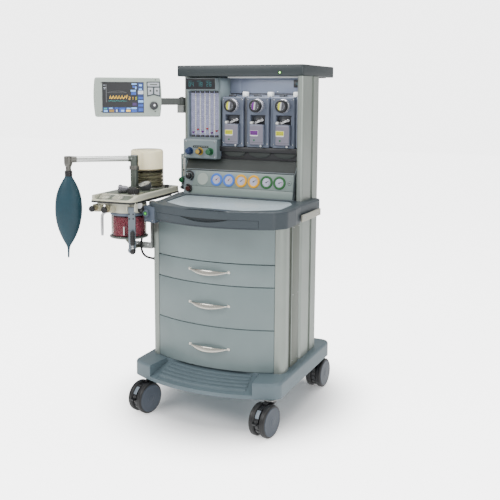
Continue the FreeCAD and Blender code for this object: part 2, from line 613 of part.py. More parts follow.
# ---- monitor ------------------------------------------------------------------------------
def monitor():
    turn = math.radians(MONITOR_TURN)
    out = V(math.sin(turn), -math.cos(turn))
    width, height, depth = MONITOR_SIZE
    cx, cy, cz = MONITOR_CENTRE
    bulge = 6.0
    half = width / 2
    left = Part.Arc(V(-half + bulge, height / 2), V(-half, 0), V(-half + bulge, -height / 2)).toShape()
    right = Part.Arc(V(half - bulge, -height / 2), V(half, 0), V(half - bulge, height / 2)).toShape()
    low = Part.LineSegment(V(-half + bulge, -height / 2), V(half - bulge, -height / 2)).toShape()
    top = Part.LineSegment(V(half - bulge, height / 2), V(-half + bulge, height / 2)).toShape()
    shell = Part.Face(Part.Wire([left, low, right, top])).extrude(V(0, 0, depth))
    shell = soften(shell, 7, lambda e: abs(e.Vertexes[0].Point.z - e.Vertexes[-1].Point.z) > 1)
    shell = soften(shell, 5, level_at(depth))
    shell = soften(shell, 14, level_at(0))
    shell = shell.cut(box(SCREEN_X, SCREEN_Z, (depth - 1.5, depth + 1)))
    well = rod((*MONITOR_KNOB, depth - 8), (0, 0, 1), 4 + RUN_GAP, 9)
    shell = shell.cut(well)
    knob = lathe([(0.4, 0), (0.4, 17), (10, 16), (13, 13), (13, 0)],
                 (*MONITOR_KNOB, depth), (0, 0, 1))
    knob = fuse(knob, rod((*MONITOR_KNOB, depth - 7), (0, 0, 1), 4, 9))
    gap = MONITOR_BACK_GAP
    lugs = []
    for x in (-17.0, 11.0):
        lug = box((x, x + 6), (-12, 12), (-gap - 10, 0.5))
        lugs.append(lug)
    shell = fuse(shell, *lugs)
    hinge_bore = rod((-20, 0, -gap), (1, 0, 0), 5 + RUN_GAP, 40)
    shell = shell.cut(hinge_bore)
    pin = rod((-17, 0, -gap), (1, 0, 0), 5, 34)

    def place(shape):
        shape = shape.copy()
        shape.rotate(V(0, 0), V(1, 0, 0), 90)
        shape.rotate(V(0, 0), V(0, 0, 1), MONITOR_TURN)
        origin = V(cx, cy, cz) - out * depth
        shape.translate(origin)
        return shape

    node("monitor_head", place(shell))
    node("monitor_knob", place(knob))
    knuckle = V(cx, cy) - out * (depth + gap)
    end = knuckle - out * 25
    px, py = ARM_PIVOT
    reach = math.hypot(end.x - px, end.y - py)
    angle = math.degrees(math.atan2(end.y - py, end.x - px))
    z_mid = MONITOR_CENTRE[2]
    beam = box((12, reach + 9), (-11, 11), ARM_Z)
    beam = soften(beam, 3, lambda e: e.Length > 100)
    beam = moved(beam, px, py, 0, angle)
    hub = rod((px, py, ARM_Z[0]), (0, 0, 1), 15, ARM_Z[1] - ARM_Z[0])
    bore = rod((px, py, ARM_Z[0] - 1), (0, 0, 1), 8 + RUN_GAP, 40)
    tongue = tilt_block(knuckle, z_mid)
    arm = fuse(beam, hub, place(pin), tongue).cut(bore)
    node("monitor_arm", arm)


def monitor_post():
    """Block on the left column, with the pivot that the monitor arm turns on."""
    block = box((-323, -SIDE_OUT), (112, 160), (1190, ARM_Z[0] - 0.4))
    block = soften(block, 6, lambda e: upright(e) and e.Vertexes[0].Point.x < -322)
    return fuse(block, rod((*ARM_PIVOT, ARM_Z[0] - 10), (0, 0, 1), 8, 46))


def tilt_block(knuckle, z):
    """Block round the tilt pin, between the two lugs of the monitor, out to the beam."""
    block = box((-10.6, 10.6), (-9, 24), (-9, 9))
    return moved(block, knuckle.x, knuckle.y, z, MONITOR_TURN)


# ---- absorber -----------------------------------------------------------------------------
def absorber_plate():
    z0, z1 = PLATE_Z
    shelf_z = z0 + MANIFOLD_T
    plate = prism([(-455, -338, 8), (-268, -325, 30), (-302, 92, 14), (-478, 110, 14)], shelf_z, z1)
    plate = soften(plate, 3, level_at(z1))
    manifold = prism([(-446, -318, 10), (-300, -306, 12), (-318, 60, 10), (-452, 70, 10)], z0, shelf_z)
    head_z = CANISTER_Z[1] + 4
    head = rod((*CANISTER, head_z), (0, 0, 1), CANISTER_R + 3, z0 - head_z)
    # the front of the plate slopes, and carries the two low valve domes
    slope_rise = 20.0
    slope_run = 67.0
    low_z = z1 - slope_rise
    slope = slab_x([(-345, low_z), (-345, z1 + 9), (-268, z1 + 9), (-278, z1)], SLOPE_LEFT_X, -240)
    plate = plate.cut(slope)
    lean = math.atan2(slope_rise, slope_run)
    up = (0, -math.sin(lean), math.cos(lean))
    domes = [lathe([(-3, 0), (-3, 19), (4, 19), (8, 13), (9, 0)], (x, -311, z0 + 30.2), up)
             for x in VALVE_X]
    port_y0, port_y1 = BREATHING_PORT_Y
    ports = [rod((x, port_y0, 822), (0, 1, 0), BREATHING_PORT_R, port_y1 - port_y0) for x in BREATHING_PORT_X]
    stubs = [box((x - 16, x + 16), (-318, -290), (808, z0)) for x in BREATHING_PORT_X]
    body = fuse(plate, manifold, head, *stubs, *ports, *domes, *lever_hanger(shelf_z + 2))
    body = body.cut(rod((*POST, z1 - 20), (0, 0, 1), 12, 21))
    for spot in (APL_KNOB, MODE_KNOB):
        body = body.cut(rod((*spot, z1 - 12), (0, 0, 1), 5 + RUN_GAP, 13))
    node("absorber_plate", body)


def lever_hanger(top):
    """Two ears and the pin that the canister lever swings on."""
    x, y = LEVER
    ears = [box((x + side * 19.5 - 3, x + side * 19.5 + 3), (y - 8, y + 8), (LEVER_PIVOT_Z - 10, top))
            for side in (-1, 1)]
    return [rod((x - 22, y, LEVER_PIVOT_Z), (1, 0, 0), LEVER_PIN_R, 44)] + ears


def absorber_bracket():
    """Arm from the side of the cabinet up to the plate, with a foot under the hose."""
    back = box(BRACKET_X, (-150, -130), (640, 760))
    upper = box((BRACKET_X[0] - 6, BRACKET_X[1]), (-150, -120), (760, PLATE_Z[0]))
    foot = box((-376, BRACKET_X[1]), (-150, -138), (648, 664))
    web = prism([(-376, -160, 3), (-294, -150, 3), (-294, -138, 3), (-376, -138, 3)], 640, 648)
    return fuse(back, foot, upper, web)


def canister():
    low, high = CANISTER_Z
    wall = 3.0
    tall = high - low
    lid_z = tall - 4
    bowl = lathe([(0, 0), (0, CANISTER_R + 7), (7, CANISTER_R + 7), (10, CANISTER_R), (lid_z, CANISTER_R),
                  (lid_z, CANISTER_R - wall), (6, CANISTER_R - wall), (6, 0)],
                 (*CANISTER, low), (0, 0, 1))
    lid = lathe([(lid_z, 0), (lid_z, CANISTER_R + 3), (tall + 3.6, CANISTER_R + 3), (tall + 3.6, 0)],
                (*CANISTER, low), (0, 0, 1))
    charge = rod((*CANISTER, low + 6), (0, 0, 1), CANISTER_R - wall - 0.2, 84)
    node("canister", Part.makeCompound([fuse(bowl, lid), charge]))


def canister_lever():
    x, y = LEVER
    grip_at = (x + 2, y - 13)
    strap = box((x - 16, x + 16), (y - 4, y + 4), (658, LEVER_PIVOT_Z + 6))
    strap = soften(strap, 3, lambda e: e.Length > 100)
    grip = lathe([(0, 0), (0, 7), (6, 8.5), (46, 8.5), (52, 7), (52, 0)], (*grip_at, 690), (0, 0, 1))
    stem = rod((*grip_at, 672), (0, 0, 1), 4, 20)
    ball = Part.makeSphere(12, V(*grip_at, 664))
    lug = box((x - 4, x + 8), (y - 13, y), (700, 730))
    pin_bore = rod((x - 20, y, LEVER_PIVOT_Z), (1, 0, 0), LEVER_PIN_R + RUN_GAP, 40)
    node("canister_lever", fuse(strap, grip, stem, ball, lug).cut(pin_bore))


def bellows():
    base_z, dome_top = DOME_Z
    tall = dome_top - base_z
    disc_t = 6.0
    narrow = 47.0
    dome = lathe([(0, DOME_R - 3), (0, DOME_R + 3), (8, DOME_R + 3), (8, DOME_R), (tall - 6, DOME_R),
                  (tall, DOME_R - 6), (tall, 0), (tall - 4, 0), (tall - 4, DOME_R - 8),
                  (tall - 8, DOME_R - 3)], (*BELLOWS, base_z), (0, 0, 1))
    node("bellows_dome", dome)
    folds = 4
    pitch = (BELLOWS_TOP - disc_t - base_z) / folds
    profile = [(0, 0)]
    for i in range(folds):
        profile += [(i * pitch, narrow), (i * pitch + pitch / 2, BELLOWS_R)]
    profile += [(folds * pitch, narrow), (folds * pitch, 0)]
    node("bellows", lathe(profile, (*BELLOWS, base_z), (0, 0, 1)))
    node("bellows_disc", rod((*BELLOWS, BELLOWS_TOP - disc_t), (0, 0, 1), BELLOWS_R - 2, disc_t))


def bag_post_and_arm():
    top = PLATE_Z[1]
    post = lathe([(0, 0), (0, 24), (12, 24), (14, POST_R), (84, POST_R), (85, POST_RING_R - 1),
                  (97, POST_RING_R - 1), (98, POST_R), (112, POST_R), (112, 0)], (*POST, top), (0, 0, 1))
    spigot = rod((*POST, top + 100), (0, 0, 1), 8, 40)
    root = rod((*POST, top - 20), (0, 0, 1), 12, 22)
    node("bag_post", fuse(post, spigot, root))
    px, py = POST
    angle = math.radians(BAG_ARM_TURN)
    dx, dy = math.cos(angle), math.sin(angle)
    end = (px + dx * BAG_ARM_REACH, py + dy * BAG_ARM_REACH)
    bush = rod((px, py, top + 112.4), (0, 0, 1), POST_R, 30)
    tube = rod((px, py, BAG_ARM_Z), (dx, dy, 0), BAG_ARM_R, BAG_ARM_REACH)
    elbow = lathe([(0, 0), (0, NECK_R), (8, 11), (18, 16), (48, 16), (50, 14), (50, 0)], (*end, 968),
                  (0, 0, 1))
    neck = rod((*end, BAG_TOP), (0, 0, 1), NECK_R, 40)
    arm = fuse(bush, tube, elbow, neck).cut(rod((px, py, top + 100), (0, 0, 1), 8 + RUN_GAP, 41))
    node("bag_arm", arm)
    node("breathing_bag", breathing_bag(*end).cut(rod((*end, BAG_TOP), (0, 0, 1), NECK_R, 30)))


def breathing_bag(x, y):
    """Lens-shaped bag hanging from the neck, with its cuff and tail."""
    rings = []
    for z, half in BAG_WIDTHS:
        depth = half if half < 15 else half * BAG_FLATNESS
        wire = Part.Wire([Part.Ellipse(V(0, 0), half + 0.01, depth).toShape()])
        wire.rotate(V(0, 0), V(0, 0, 1), 20)
        hang = min(0, z - BAG_TOP)
        wire.translate(V(x - BAG_LEAN[0] * hang, y - BAG_LEAN[1] * hang, z))
        rings.append(wire)
    return Part.makeLoft(rings[::-1], True, False)


def plate_controls():
    """Relief knob, bag or ventilator selector, and the leaning manometer."""
    top = PLATE_Z[1]
    relief = lathe([(0.4, 0), (0.4, 20), (5, 23), (22, 23), (28, 19), (28, 0)], (*APL_KNOB, top), (0, 0, 1))
    node("apl_knob", fuse(relief, rod((*APL_KNOB, top - 11), (0, 0, 1), 5, 13)))
    selector = lathe([(0.4, 0), (0.4, 9), (14, 8), (14, 0)], (*MODE_KNOB, top), (0, 0, 1))
    node("mode_knob", fuse(selector, rod((*MODE_KNOB, top - 11), (0, 0, 1), 5, 13)))
    gauge = lathe([(-16, 0), (-16, 21), (-6, 25), (8, 26), (10, 25), (10, 22), (7, 22), (7, 0)],
                  MANOMETER, MANOMETER_OUT)
    leg = rod((*MANOMETER[:2], top), (0, 0, 1), 10, 14)
    node("manometer", fuse(gauge, leg))


def hose():
    """Tube of straight runs joined by tangent arcs, from the manifold to the cabinet."""
    points = [V(*p) for p in HOSE_ROUTE]
    edges = []
    last = points[0]
    for before, here, after in zip(points, points[1:], points[2:]):
        run_in = here - before
        run_out = after - here
        turn = run_in.getAngle(run_out)
        radius = 0.45 * min(run_in.Length, run_out.Length) / math.tan(turn / 2)
        reach = radius * math.tan(turn / 2)
        run_in.normalize()
        run_out.normalize()
        start = here - run_in * reach
        end = here + run_out * reach
        inward = run_out - run_in
        inward.normalize()
        middle = here + inward * (radius / math.cos(turn / 2) - radius)
        edges.append(Part.LineSegment(last, start).toShape())
        edges.append(Part.Arc(start, middle, end).toShape())
        last = end
        print("hose bend radius %.1f" % radius)
    edges.append(Part.LineSegment(last, points[-1]).toShape())
    path = Part.Wire(edges)
    first = points[1] - points[0]
    circle = Part.Wire([Part.Circle(points[0], first, HOSE_R).toShape()])
    tube = path.makePipeShell([circle], True, True)
    print("hose length %.1f, volume %.0f, expected %.0f"
          % (path.Length, tube.Volume, math.pi * HOSE_R ** 2 * path.Length))
    node("gas_hose", tube)


def main():
    base()
    castors()
    cabinet()
    tray_joiners()
    columns()
    worktop()
    upper_frame()
    flow_module()
    vaporizers()
    gauge_panel()
    auxiliary_flowmeter()
    monitor()
    absorber_plate()
    node("side_brackets", Part.makeCompound([monitor_post(), absorber_bracket()]))
    canister()
    canister_lever()
    bellows()
    bag_post_and_arm()
    plate_controls()
    hose()
    for name, shape in NODES.items():
        shape.exportStep("parts/%s.step" % name)
        print("%-22s valid %s solids %d volume %.0f"
              % (name, shape.isValid(), len(shape.Solids), shape.Volume))
    print(len(NODES), "nodes")


main()
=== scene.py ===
import json
import math
import random

import bmesh
import bpy
from mathutils import Matrix, Vector, noise


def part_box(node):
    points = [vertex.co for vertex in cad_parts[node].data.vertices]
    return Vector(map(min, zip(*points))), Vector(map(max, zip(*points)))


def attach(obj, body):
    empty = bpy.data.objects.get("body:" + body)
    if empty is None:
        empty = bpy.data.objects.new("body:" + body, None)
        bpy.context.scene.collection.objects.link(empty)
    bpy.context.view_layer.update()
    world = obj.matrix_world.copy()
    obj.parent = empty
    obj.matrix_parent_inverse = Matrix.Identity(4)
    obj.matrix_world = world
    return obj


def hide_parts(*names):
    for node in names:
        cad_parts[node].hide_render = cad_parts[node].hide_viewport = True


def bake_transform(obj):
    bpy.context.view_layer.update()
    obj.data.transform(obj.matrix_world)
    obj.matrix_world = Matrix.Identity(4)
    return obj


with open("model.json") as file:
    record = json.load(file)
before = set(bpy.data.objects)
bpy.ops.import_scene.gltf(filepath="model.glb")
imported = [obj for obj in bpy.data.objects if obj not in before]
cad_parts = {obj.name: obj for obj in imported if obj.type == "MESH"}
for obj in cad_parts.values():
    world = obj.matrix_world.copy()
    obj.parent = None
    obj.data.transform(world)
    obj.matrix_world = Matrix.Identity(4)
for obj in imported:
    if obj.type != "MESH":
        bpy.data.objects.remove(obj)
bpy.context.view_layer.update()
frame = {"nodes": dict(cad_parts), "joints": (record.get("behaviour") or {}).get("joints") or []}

# Sizes and places below are millimetres in the frame of the CAD part, turned into metres when a
# piece is finished. +X is the operator's right, +Y the back and +Z up.
MM = 0.001
FORWARD = Vector((0, -1, 0))


def lo_hi(node):
    """Lowest and highest corner of a CAD node, in millimetres."""
    low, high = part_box(node)
    return low / MM, high / MM


def joint_at(name):
    """Where a joint is, in millimetres, and its axis."""
    found = next(j for j in frame["joints"] if j["name"] == name)
    return Vector(found["pos_m"]) / MM, Vector(found["axis"]).normalized()


def facing(origin, out, up=(0, 0, 1)):
    """Local axes on a face: x to the right, y up along the face, z out of it."""
    z = Vector(out).normalized()
    x = Vector(up).cross(z).normalized()
    y = z.cross(x)
    place = Matrix((x, y, z)).transposed().to_4x4()
    place.translation = Vector(origin)
    return place


# ---- materials ----------------------------------------------------------------------------
def srgb(code):
    """Linear colour of a hex code."""
    channels = [int(code[i:i + 2], 16) / 255 for i in (0, 2, 4)]
    return [c / 12.92 if c <= 0.04045 else ((c + 0.055) / 1.055) ** 2.4 for c in channels]


def shaded(colour, factor):
    return [min(1.0, c * factor) for c in colour] + [1.0]


def start_material(name):
    material = bpy.data.materials.new(name)
    material.use_nodes = True
    tree = material.node_tree
    shader = next(n for n in tree.nodes if n.type == "BSDF_PRINCIPLED")
    place = tree.nodes.new("ShaderNodeTexCoord").outputs["Object"]
    return material, tree, shader, place


def feed(tree, node, inputs):
    """Set a node's inputs, or link those that are given another node's output."""
    for name, value in inputs.items():
        socket = node.inputs[name]
        if isinstance(value, bpy.types.NodeSocket):
            tree.links.new(value, socket)
        else:
            socket.default_value = value
    return node


def add(tree, kind, inputs):
    return feed(tree, tree.nodes.new("ShaderNode" + kind), inputs)


def noise_node(tree, vector, size, detail=3.0):
    """Noise whose features are about one size, in millimetres."""
    inputs = {"Scale": 1 / (size * MM), "Detail": detail, "Roughness": 0.5, "Vector": vector}
    return add(tree, "TexNoise", inputs).outputs["Fac"]


def spread(tree, value, low, high):
    """Map a noise value to a range."""
    inputs = {"From Min": 0.3, "From Max": 0.7, "To Min": low, "To Max": high, "Value": value}
    return add(tree, "MapRange", inputs).outputs["Result"]


def mix_colours(tree, factor, a, b):
    node = tree.nodes.new("ShaderNodeMix")
    node.data_type = "RGBA"
    return feed(tree, node, {0: factor, 6: a, 7: b}).outputs[2]


def uneven(tree, place, size, colour, less, more):
    """The colour, drifting between two shares of its brightness."""
    tone = spread(tree, noise_node(tree, place, size), 0.0, 1.0)
    return mix_colours(tree, tone, shaded(colour, less), shaded(colour, more))


EDGE = 0.8         # millimetres of softly rounded edge
BRUSH_STRETCH = 0.02


def surface(name, code, rough=0.45, metal=0.0, mottle=0.05, mottle_size=120.0, grain=0.12,
            grain_size=1.2, brush=None, wear_and_edge_highlight=0.25, specular=0.5):
    """Paint, plastic or metal. Sizes in millimetres; brush is the axis that the brushing runs along."""
    material, tree, shader, place = start_material(name)
    colour = srgb(code)
    base = uneven(tree, place, mottle_size, colour, 1 - mottle, 1 + mottle)
    # softly rounded edges, a little paler along them: partly rubbed wear, partly a painted highlight
    bevel = add(tree, "Bevel", {"Radius": EDGE * MM})
    bevel.samples = 4
    geometry = tree.nodes.new("ShaderNodeNewGeometry")
    dot = add(tree, "VectorMath", {0: bevel.outputs["Normal"], 1: geometry.outputs["Normal"]})
    dot.operation = "DOT_PRODUCT"
    rub_and_highlight = add(tree, "MapRange", {"From Min": 0.995, "From Max": 0.80, "To Max": wear_and_edge_highlight,
                                 "Value": dot.outputs["Value"]})
    base = mix_colours(tree, rub_and_highlight.outputs["Result"], base, shaded(colour, 1.7))
    fine = place
    if brush is not None:
        scale = [1.0, 1.0, 1.0]
        scale[brush] = BRUSH_STRETCH
        fine = add(tree, "Mapping", {"Scale": scale, "Vector": place}).outputs["Vector"]
    grains = noise_node(tree, fine, grain_size, 2.0)
    bump = add(tree, "Bump", {"Strength": grain, "Distance": 0.1 * MM, "Height": grains,
                              "Normal": bevel.outputs["Normal"]})
    feed(tree, shader, {"Base Color": base, "Roughness": spread(tree, grains, rough - 0.05, rough + 0.05),
                        "Normal": bump.outputs["Normal"], "Metallic": metal, "Specular IOR Level": specular})
    return material


def glow(name, code, strength, ripple=0.15):
    """A lit surface, a little uneven."""
    material, tree, shader, place = start_material(name)
    lit = uneven(tree, place, 18, srgb(code), 1 - ripple, 1 + ripple)
    feed(tree, shader, {"Base Color": lit, "Emission Color": lit, "Emission Strength": strength,
                        "Roughness": 0.35})
    return material


def clear(name, code, rough=0.04):
    """Clear plastic or glass, faintly clouded."""
    material, tree, shader, place = start_material(name)
    colour = srgb(code)
    cloud = noise_node(tree, place, 25)
    tint = mix_colours(tree, spread(tree, cloud, 0.0, 1.0), shaded(colour, 0.97), shaded(colour, 1.0))
    feed(tree, shader, {"Base Color": tint, "Roughness": spread(tree, cloud, rough, rough + 0.04),
                        "Transmission Weight": 1.0, "IOR": 1.2})
    return material


PELLET_SIZE = 4.5


def granules(name, dark, light):
    """Packed absorbent pellets."""
    material, tree, shader, place = start_material(name)
    cells = add(tree, "TexVoronoi", {"Scale": 1 / (PELLET_SIZE * MM), "Vector": place})
    pick = add(tree, "SeparateColor", {"Color": cells.outputs["Color"]})
    base = mix_colours(tree, pick.outputs["Red"], shaded(srgb(dark), 1), shaded(srgb(light), 1))
    bump = add(tree, "Bump", {"Strength": 0.8, "Distance": 1.5 * MM, "Height": cells.outputs["Distance"]})
    bump.invert = True
    feed(tree, shader, {"Base Color": base, "Normal": bump.outputs["Normal"], "Roughness": 0.8})
    return material


SLATE = surface("slate_plastic", "5B6A71", rough=0.42, grain=0.25, grain_size=1.0)
SLATE_TOP = surface("slate_tray", "A4B2B8", rough=0.30, grain=0.10, grain_size=1.0)
APRON = surface("worktop_plastic", "323B41", rough=0.42, grain=0.25, grain_size=1.0)
# near black for the vaporizer ledge, its scoops and the gauge panel's cap: painted shade
LEDGE_SHADE = surface("ledge_painted_shade", "212124", rough=0.42)
PANEL_CAP_SHADE = surface("panel_cap_painted_shade", "2A2F2D", rough=0.38)
SHELF_GREY = surface("shelf_paint", "2B3336", rough=0.38)
PANEL = surface("cabinet_paint", "748283", rough=0.42, grain=0.18)
SIDE_PANEL = surface("side_paint", "5F645B", rough=0.45)
STEEL = surface("tray_steel", "A9ABAA", rough=0.32, metal=0.9, brush=0, grain=0.2)
BARE_STEEL = surface("bare_steel", "B5B5B2", rough=0.28, metal=1.0, brush=0, grain=0.25)
EXTRUSION = surface("anodised_column", "919892", rough=0.36, metal=0.55, brush=2, grain=0.25)
HANDLE_METAL = surface("handle_metal", "CFCCC2", rough=0.24, metal=1.0, brush=0, grain=0.2)
CHARCOAL = surface("castor_charcoal", "18191C", rough=0.26, specular=0.6)
TYRE = surface("castor_tyre", "0F1012", rough=0.42, grain=0.35, grain_size=1.5)
DISC_GREY = surface("castor_disc", "313A46", rough=0.36)
PEDAL_GREY = surface("pedal_grey", "6E7882", rough=0.35)
MODULE = surface("module_paint", "737F83", rough=0.40)
BACK_WALL = surface("back_wall_paint", "6F7789", rough=0.36)
VAPOR_PAINT = surface("vaporizer_paint", "646C7C", rough=0.34, metal=0.3)
FILLER = surface("filler_paint", "757280", rough=0.36)
BLACK = surface("black_plastic", "141416", rough=0.38, wear_and_edge_highlight=0.1)
DARK_GREY = surface("dark_grey_plastic", "3A3B3E", rough=0.42)
SKIRT = surface("dial_skirt", "C9C9D2", rough=0.25, metal=0.8, brush=1)
WHITE = surface("white_plastic", "D8DAD8", rough=0.35, wear_and_edge_highlight=0.05)
FACEPLATE = surface("gauge_faceplate", "7D8B87", rough=0.35, wear_and_edge_highlight=0.05)
BLANK = surface("blank_plate", "9CA69F", rough=0.4)
IVORY = surface("absorber_ivory", "C0BFAE", rough=0.42)
RIM_GREY = surface("absorber_metal", "A9A89C", rough=0.34, metal=0.5)
MONITOR_SHELL = surface("monitor_shell", "ABB6AD", rough=0.42, grain=0.25)
ARM_PAINT = surface("arm_paint", "4C514E", rough=0.4)
KEY_GREY = surface("monitor_key", "B9BEC4", rough=0.4)
CHROME = surface("polished_metal", "C8C9CC", rough=0.16, metal=1.0, grain=0.05)
LEVER_METAL = surface("lever_metal", "727B83", rough=0.34, metal=0.6, brush=2)
POST_METAL = surface("post_metal", "5C625C", rough=0.36, metal=0.6, brush=2)
BRASS = surface("port_brass", "A9A48C", rough=0.32, metal=0.8, brush=1)
RUBBER = surface("black_rubber", "0E0F10", rough=0.6, grain=0.3, wear_and_edge_highlight=0.05)
LID_BLUE = surface("canister_lid", "5E6777", rough=0.34)
BLUE = surface("knob_blue", "1B2F57", rough=0.3)
GOLD = surface("knob_gold", "A88A36", rough=0.3)
GREEN = surface("knob_green", "1F5A38", rough=0.3)
RING_BLUE = surface("ring_blue", "3F70CC", rough=0.35, wear_and_edge_highlight=0.05)
RING_YELLOW = surface("ring_yellow", "DDA000", rough=0.35, wear_and_edge_highlight=0.05)
RING_GREEN = surface("ring_green", "1B5A26", rough=0.35, wear_and_edge_highlight=0.05)
YELLOW = surface("label_yellow", "C4C400", rough=0.4, wear_and_edge_highlight=0.05)
PURPLE = surface("label_purple", "6A1280", rough=0.4, wear_and_edge_highlight=0.05)
RED = surface("needle_red", "B0433A", rough=0.4, wear_and_edge_highlight=0.05)
TEAL = surface("bag_silicone", "02323F", rough=0.5, mottle=0.10, mottle_size=60, grain=0.3, grain_size=2.0)
OUTLET = surface("outlet_blue_grey", "4C5664", rough=0.36)
# blue-grey for the back of the front column groove: painted shade
GAP_SHADE_BLUE = surface("gap_painted_shade_blue_grey", "55606E", rough=0.4)
KEY_FRAME = surface("key_frame", "3C4448", rough=0.4)
CREAM = surface("plate_edge_cream", "D2D0B4", rough=0.35)
PLATE_GLOSS = surface("plate_sheet", "6E7568", rough=0.22, metal=0.25)
PORT_IVORY = surface("port_ivory", "B9B6A0", rough=0.4)
WINDOW_DISC = surface("valve_disc", "7C7C74", rough=0.3, metal=0.4)
OLIVE_GREY = surface("olive_grey", "6A6B5C", rough=0.35)
STRUT = surface("strut_paint", "8B8E8C", rough=0.38)
RING_METAL = surface("ring_metal", "9D9CA0", rough=0.26, metal=0.8, brush=2)
# near white and only partly metal: the tube's own silver with a painted reflection of white surroundings
TUBE_SILVER_AND_REFLECTION = surface("arm_tube_painted_reflection", "DCDEDC", rough=0.2, metal=0.6)
ELBOW = surface("elbow_metal", "6A6964", rough=0.34, metal=0.6)
# the cream sleeve of the dome glows a little though it is no lamp: painted light that brightens it
DOME_CREAM_GLOW = glow("dome_cream_painted_glow", "FDF8E4", 0.55, 0.03)
MARK_GREY = surface("mark_grey", "8A8674", rough=0.4)
BELLOWS_RUBBER = surface("bellows_rubber", "6E7064", rough=0.38, specular=0.7)
CAP_METAL = surface("cap_metal", "77777C", rough=0.24, metal=0.7, brush=2)
CANISTER_BASE = surface("canister_base", "59605B", rough=0.36)
BASE_STEEL = surface("base_steel", "8C8C86", rough=0.3, metal=0.7)
GUARD_GREY = surface("clear_guard", "BFC1C4", rough=0.14, specular=0.8)
CANISTER_CLEAR = clear("canister_clear", "F2EEE8", rough=0.03)
CLEAR = clear("clear_acrylic", "F4F4F0")
AMBER = clear("amber_dome", "FBF2D8")
PELLETS = granules("absorbent", "6C2438", "A04A60")
SCREEN = glow("screen_dark", "0B0E14", 0.3)
SCREEN_BLUE = glow("screen_blue", "23499C", 0.9)
SCREEN_SKY = glow("screen_sky", "6FA0D8", 1.1)
SCREEN_TEAL = glow("screen_teal", "2C8F8A", 0.9)
SCREEN_AMBER = glow("screen_amber", "E8B838", 1.4)
SCREEN_NAVY = glow("screen_navy", "132A5C", 0.7)
SCREEN_OCHRE = glow("screen_ochre", "8A6A2C", 0.8)
SCREEN_VIOLET = glow("screen_violet", "3A2458", 0.6)
SCREEN_DIM = glow("screen_dim", "4A4C4E", 0.7)
SCREEN_PALE = glow("screen_pale", "AEB6C0", 1.0)
# a bright and a dark copy of the vaporizer grey: painted highlight and painted shade on the vaporizers' sides
# and in the filler recesses
VAPOR_SIDE_LIT = surface("vaporizer_side_painted_highlight", "B4BCCC", rough=0.36, metal=0.2)
RECESS_SHADE = surface("recess_painted_shade", "50535A", rough=0.4)
GAUGE_FACE = surface("gauge_dial_face", "B4B4C8", rough=0.35, wear_and_edge_highlight=0.05)
DIAL_DARK = surface("dial_face_dark", "4E4F56", rough=0.35)
FLUSH_RED = surface("flush_cap", "3C1614", rough=0.35)
DIGIT_DIM = glow("digit_dim", "2A5C60", 0.45)
TUBE_LIGHT = glow("tube_backlight", "8789A8", 0.9)
LAMP_LIGHT = glow("lamp_diffuser", "8E96A0", 0.5, 0.03)
LED_GREEN = glow("led_green", "3F9A20", 1.6)
LED_WHITE = glow("led_core", "E8F8C0", 4.0)


# ---- mesh building ------------------------------------------------------------------------
def turned(degrees):
    return Matrix.Rotation(math.radians(degrees), 4, "Z")


def rounded_outline(corners, steps=5):
    """Points of a closed outline whose (x, y, radius) corners are rounded by arcs."""
    points = []
    count = len(corners)
    for i, corner in enumerate(corners):
        here = Vector(corner[:2])
        radius = corner[2] if len(corner) > 2 else 0.0
        if not radius:
            points.append(here)
            continue
        before = (Vector(corners[i - 1][:2]) - here).normalized()
        after = (Vector(corners[(i + 1) % count][:2]) - here).normalized()
        half = before.angle(after) / 2
        start = here + before * radius / math.tan(half)
        end = here + after * radius / math.tan(half)
        centre = here + (before + after).normalized() * radius / math.sin(half)
        a, b = start - centre, end - centre
        sweep = a.angle_signed(b)
        for k in range(steps + 1):
            turn = Matrix.Rotation(-sweep * k / steps, 2)
            points.append(centre + turn @ a)
    return points


def rounded_profile(profile, radius, steps=3):
    """(along, radius) profile with its inner corners rounded."""
    points = [Vector(profile[0])]
    for before, here, after in zip(profile, profile[1:], profile[2:]):
        before, here, after = Vector(before), Vector(here), Vector(after)
        reach = min(radius, (before - here).length * 0.45, (after - here).length * 0.45)
        start = here + (before - here).normalized() * reach
        end = here + (after - here).normalized() * reach
        for k in range(steps + 1):
            t = k / steps
            points.append(start * (1 - t) ** 2 + here * 2 * t * (1 - t) + end * t * t)
    points.append(Vector(profile[-1]))
    return points


ON_AXIS = 1e-5


def circle(radius, count):
    """Evenly spaced points of a circle round the origin."""
    return [(radius * math.cos(2 * math.pi * i / count), radius * math.sin(2 * math.pi * i / count))
            for i in range(count)]


def grid_faces(part, rings, open_ends=False):
    """Join rings of points with quads."""
    rows = [[part.verts.new(p) for p in ring] for ring in rings]
    for a, b in zip(rows, rows[1:]):
        for i in range(len(a)):
            j = (i + 1) % len(a)
            part.faces.new((a[i], a[j], b[j], b[i]))
    if not open_ends:
        part.faces.new(rows[0][::-1])
        part.faces.new(rows[-1])


def rectangle(x, y):
    return [(x[0], y[0]), (x[1], y[0]), (x[1], y[1]), (x[0], y[1])]


